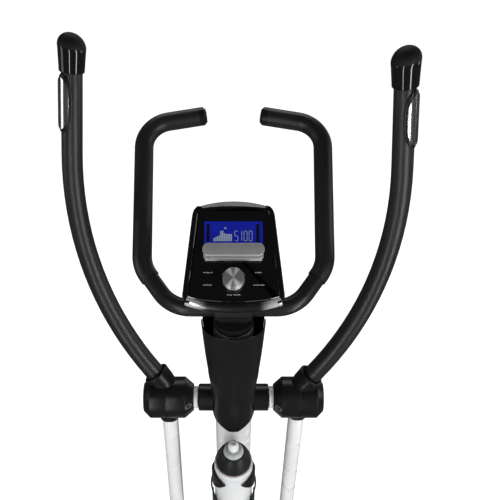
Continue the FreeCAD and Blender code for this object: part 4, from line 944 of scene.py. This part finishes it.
hoop_points = [round_bottle(a, r, z) for a, r, z in (
    (166, 0.0400, -0.150), (140, 0.0408, -0.156), (112, 0.0412, -0.162), (90, 0.0412, -0.167), (72, 0.0410, -0.173),
    (56, 0.0408, -0.181), (38, 0.0406, -0.196), (20, 0.0406, -0.213), (0, 0.0406, -0.226))]
for side, flip in sides:
    wing = hugging(lambda u: 84 - 62 * u, lambda u: -0.158 + 0.041 * u ** 1.5, lambda u: -0.1085 - 0.0075 * u ** 3,
                   0.0376, 0.0016)
    soften(wing, 0.0004, 50.0, 2)
    finished(side + "_cage_wing", wing, bottle_axes, cage_plastic, "root", (), flip)
    grip = hugging(lambda u: 98 - 40 * u, lambda u: -0.264, lambda u: -0.186 - 0.010 * (2 * u - 1) ** 2, 0.0376, 0.0030, 14)
    soften(grip, 0.0007, 50.0, 2)
    finished(side + "_cage_grip", grip, bottle_axes, cage_plastic, "root", (), flip)
    arm = hugging(lambda u: 176 - 92 * u, lambda u: -0.160 + 0.002 * u, lambda u: -0.140 + 0.030 * u, 0.0376, 0.0024)
    soften(arm, 0.0006, 50.0, 2)
    finished(side + "_cage_arm", arm, bottle_axes, cage_plastic, "root", (), flip)
    hoop = wire(smooth_path(hoop_points), 0.0016)
    finished(side + "_cage_hoop", hoop, bottle_axes, cage_plastic, "root", (), flip)
cup = turned([(0.0265, -0.2943), (0.0385, -0.2943), (0.0405, -0.2925), (0.0414, -0.2890), (0.0414, -0.2630), (0.0409, -0.2620),
              (0.0385, -0.2620), (0.0380, -0.2630), (0.0380, -0.2900), (0.0265, -0.2903), (0.0265, -0.2943)], 80)
finished("cage_cup", cup, bottle_axes, cage_plastic, "root", ["bottle_cage"])
spine = slab(rounded_outline(box_outline(-0.0150, 0.0150, 0.0380, 0.0440), 0.0020, 4), -0.2640, -0.1180)
soften(spine, 0.0012, 60.0)
finished("cage_spine", spine, bottle_axes, cage_plastic, "root")


# ---- Drive shells, crank discs and what turns inside -----------------------------------------
# Two textured shells are screwed together over the crank pulley, the belt and the braked flywheel;
# gloss discs on the crank axle stand outside them.
def metal(name, dark, light, low, high, metallic=1.0):
    material, shader, place = paint(name, Metallic=metallic)
    brushed = place.node("Mapping", {}, {"Vector": place, "Scale": (90.0, 700.0, 700.0)}).noise(1.0)
    drive(shader, "Base Color", brushed.tint((dark,) * 3, (light,) * 3))
    drive(shader, "Roughness", brushed.between(low, high))
    grain(shader, place.noise(900.0, 2.0), 0.12, 0.0003)
    return material


bright_steel = metal("zinc_plated_steel", 0.48, 0.62, 0.22, 0.38)
cast_iron = metal("cast_iron", 0.05, 0.11, 0.4, 0.6, 0.85)
board_green, board_shader, board_place = paint("circuit_board", Coat_Weight=0.3)
drive(board_shader, "Base Color", board_place.noise(180.0, 2.0).tint((0.01, 0.09, 0.03), (0.02, 0.16, 0.05)))
drive(board_shader, "Roughness", board_place.noise(90.0).between(0.35, 0.5))
dress(bright_steel, "frame_bolts", "pivot_axle", "crank_axle", "crank_bearings", "flywheel_axle", "knob_shaft",
      "left_joint_pin", "right_joint_pin")
dress(cast_iron, "flywheel", "flywheel_pulley")
dress(rubber, "rubber_feet", "drive_belt")
dress(grey_plastic, "crank_pulley")
dress(shell_black, "dc_socket")
dress(board_green, "circuit_board")


def merged(target, part, place):
    """Moves one mesh into another."""
    bmesh.ops.transform(part, matrix=place, verts=part.verts)
    held = bpy.data.meshes.new("held")
    part.to_mesh(held)
    part.free()
    target.from_mesh(held)
    bpy.data.meshes.remove(held)


crank_place = Vector((0, *joints["crank_turn"]["pos_m"][1:]))
lie_across = Matrix.Rotation(math.pi / 2, 4, "Y")
for side, flip in sides:
    hub = turned([(0.0, 0.0745), (0.0380, 0.0745), (0.0380, 0.0762), (0.0350, 0.0770), (0.0180, 0.0774),
                  (0.0170, 0.0766), (0.0, 0.0766)], 72)
    finished(side + "_disc_hub", hub, Matrix.Translation(crank_place) @ lie_across, satin_black, "crank",
             (), flip)
    groove = turned([(0.1560, 0.0748), (0.1560, 0.0758), (0.1570, 0.0761), (0.1592, 0.0761), (0.1602, 0.0758),
                     (0.1602, 0.0748), (0.1560, 0.0748)], 128)
    finished(side + "_disc_ring", groove, Matrix.Translation(crank_place) @ lie_across, silver_trim, "crank",
             (), flip)
    screws = bmesh.new()
    for y, z in ((-0.545, 0.420), (-0.545, 0.235), (-0.190, 0.395), (-0.040, 0.330), (-0.100, 0.165), (-0.440, 0.150)):
        head = turned([(0.0, 0.0588), (0.0062, 0.0588), (0.0062, 0.0602), (0.0048, 0.0612), (0.0016, 0.0612),
                       (0.0016, 0.0604), (0.0, 0.0604)], 24)
        merged(screws, head, Matrix.Translation((0, y, z)) @ lie_across)
    finished(side + "_shell_screws", screws, Matrix.Identity(4), bright_steel, "root", (), flip)


# ---- Swing arms ------------------------------------------------------------------------------
# White oval tube that hangs from the pivot sleeve and ends in the hub of the pedal joint.
arm_tube_x, arm_tube_y, arm_side = 0.027, 0.045, 0.1166
arm_reach = (Vector(joints["right_pedal_hinge"]["pos_m"][1:]) - Vector(pivot[1:])).length
for side, flip in sides:
    half_x, half_y = arm_tube_x / 2, arm_tube_y / 2
    oval = rounded_outline(box_outline(-half_x, half_x, -half_y, half_y), half_x - 0.0005, 12)
    arm = slab(oval, -arm_reach, 0.0)
    bmesh.ops.translate(arm, vec=(arm_side, 0, 0), verts=arm.verts)
    sleeve = turned([(0.0122, 0.0642), (0.0197, 0.0642), (0.0197, 0.1485), (0.0122, 0.1485), (0.0122, 0.0642)], 64)
    merged(arm, sleeve, lie_across)
    hub = turned([(0.0, arm_side - 0.0195), (0.0228, arm_side - 0.0195), (0.0240, arm_side - 0.0183),
                  (0.0240, arm_side + 0.0183), (0.0228, arm_side + 0.0195), (0.0, arm_side + 0.0195)], 64)
    merged(arm, hub, Matrix.Translation((0, 0, -arm_reach)) @ lie_across)
    finished(side + "_arm_tube", arm, arm_axes(side), white, side + "_arm",
             [side + "_swing_arm"], flip)


# ---- Pedals ----------------------------------------------------------------------------------
# Long moulded footplates with a raised rim and rubber tread bars, bolted on white steel tubes.
tread = satin_plastic("tread_rubber", 0.030, 0.6, 0.8, 1200.0, 0.5)
dress(shell_black, "left_footplate", "right_footplate")
for side, flip in sides:
    low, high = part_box(side + "_pedal_tube")
    joint = Vector(joints[side + "_pedal_hinge"]["pos_m"])
    pin_y = -0.31264 if side == "right" else -0.41736
    pin_z = 0.48147 if side == "right" else 0.16853
    along = Vector((0, joint.y - pin_y, joint.z - pin_z)).normalized()
    pedal = Matrix((Vector((1, 0, 0)), along, Vector((1, 0, 0)).cross(along))).transposed().to_4x4()
    pedal = Matrix.Translation((0, joint.y, joint.z)) @ pedal
    bars = bmesh.new()
    for k in range(17):
        y = -0.530 - 0.150 + 0.300 * k / 16
        cut = 0.012 if k in (0, 16) else 0.0
        for x0, x1 in ((0.0985 + cut, 0.1340), (0.1390, 0.1730), (0.1780, 0.2135 - cut)):
            bar = slab(box_outline(x0, x1, y - 0.0045, y + 0.0045), 0.0330, 0.0360)
            raised = [v for v in bar.verts if v.co.z > 0.035]
            centre = Vector(((x0 + x1) / 2, y, 0.0360))
            for v in raised:
                v.co = centre + (v.co - centre) * 0.93
            merged(bars, bar, Matrix.Identity(4))
    finished(side + "_tread", bars, pedal, tread, side + "_pedal", (), flip)
    bolts = bmesh.new()
    for y in (-0.640, -0.420):
        for x in (0.108, 0.205):
            head = turned([(0.0, 0.0358), (0.0075, 0.0358), (0.0075, 0.0372), (0.0060, 0.0382), (0.0030, 0.0384),
                           (0.0030, 0.0370), (0.0, 0.0370)], 24)
            merged(bolts, head, Matrix.Translation((x, y, 0)))
    finished(side + "_plate_bolts", bolts, pedal, bright_steel, side + "_pedal", (), flip)


# ---- Transport wheels, mast foot and brake motor ---------------------------------------------
# Hard rubber rollers in the front end caps; a moulded collar hides the joint between the mast and
# the beam, and a small geared motor under the shell pulls the magnet bracket.
dress(rubber, "transport_wheel_left", "transport_wheel_right")
for side, flip in sides:
    low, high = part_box("transport_wheel_" + side)
    middle = (low + high) / 2
    cap = turned([(0.0, -0.0020), (0.0150, -0.0020), (0.0170, 0.0), (0.0160, 0.0014), (0.0090, 0.0020), (0.0, 0.0020)],
                 48)
    finished(side + "_wheel_cap", cap, Matrix.Translation((0.2412, middle.y, middle.z)) @ lie_across, grey_plastic,
             "wheel_" + side, (), flip)
foot = bmesh.new()
levels = ((0.128, 0.056, 0.070), (0.140, 0.056, 0.070), (0.160, 0.050, 0.060), (0.200, 0.042, 0.046),
          (0.206, 0.0405, 0.0435))
foot_rings = []
for z, half_x, half_y in levels:
    y = pivot.y + (pivot.z - z) * math.tan(math.radians(16))
    ring = []
    for k in range(48):
        turn = math.tau * k / 48
        c, s = math.cos(turn), math.sin(turn)
        ring.append(foot.verts.new((math.copysign(abs(c) ** 0.6, c) * half_x,
                                    y + math.copysign(abs(s) ** 0.6, s) * half_y, z)))
    foot_rings.append(ring)
for a, b in zip(foot_rings, foot_rings[1:]):
    for k in range(48):
        foot.faces.new((a[k], a[(k + 1) % 48], b[(k + 1) % 48], b[k]))
foot.faces.new(foot_rings[0])
foot.faces.new(foot_rings[-1])
bmesh.ops.recalc_face_normals(foot, faces=foot.faces)
finished("mast_foot_cover", foot, Matrix.Identity(4), satin_black, "root")
motor = bmesh.new()
bmesh.ops.create_cube(motor, size=1.0)
bmesh.ops.scale(motor, vec=(0.030, 0.060, 0.045), verts=motor.verts)
bmesh.ops.translate(motor, vec=(0.0, -0.285, 0.1515), verts=motor.verts)
soften(motor, 0.003)
finished("brake_motor", motor, Matrix.Identity(4), grey_plastic, "root")
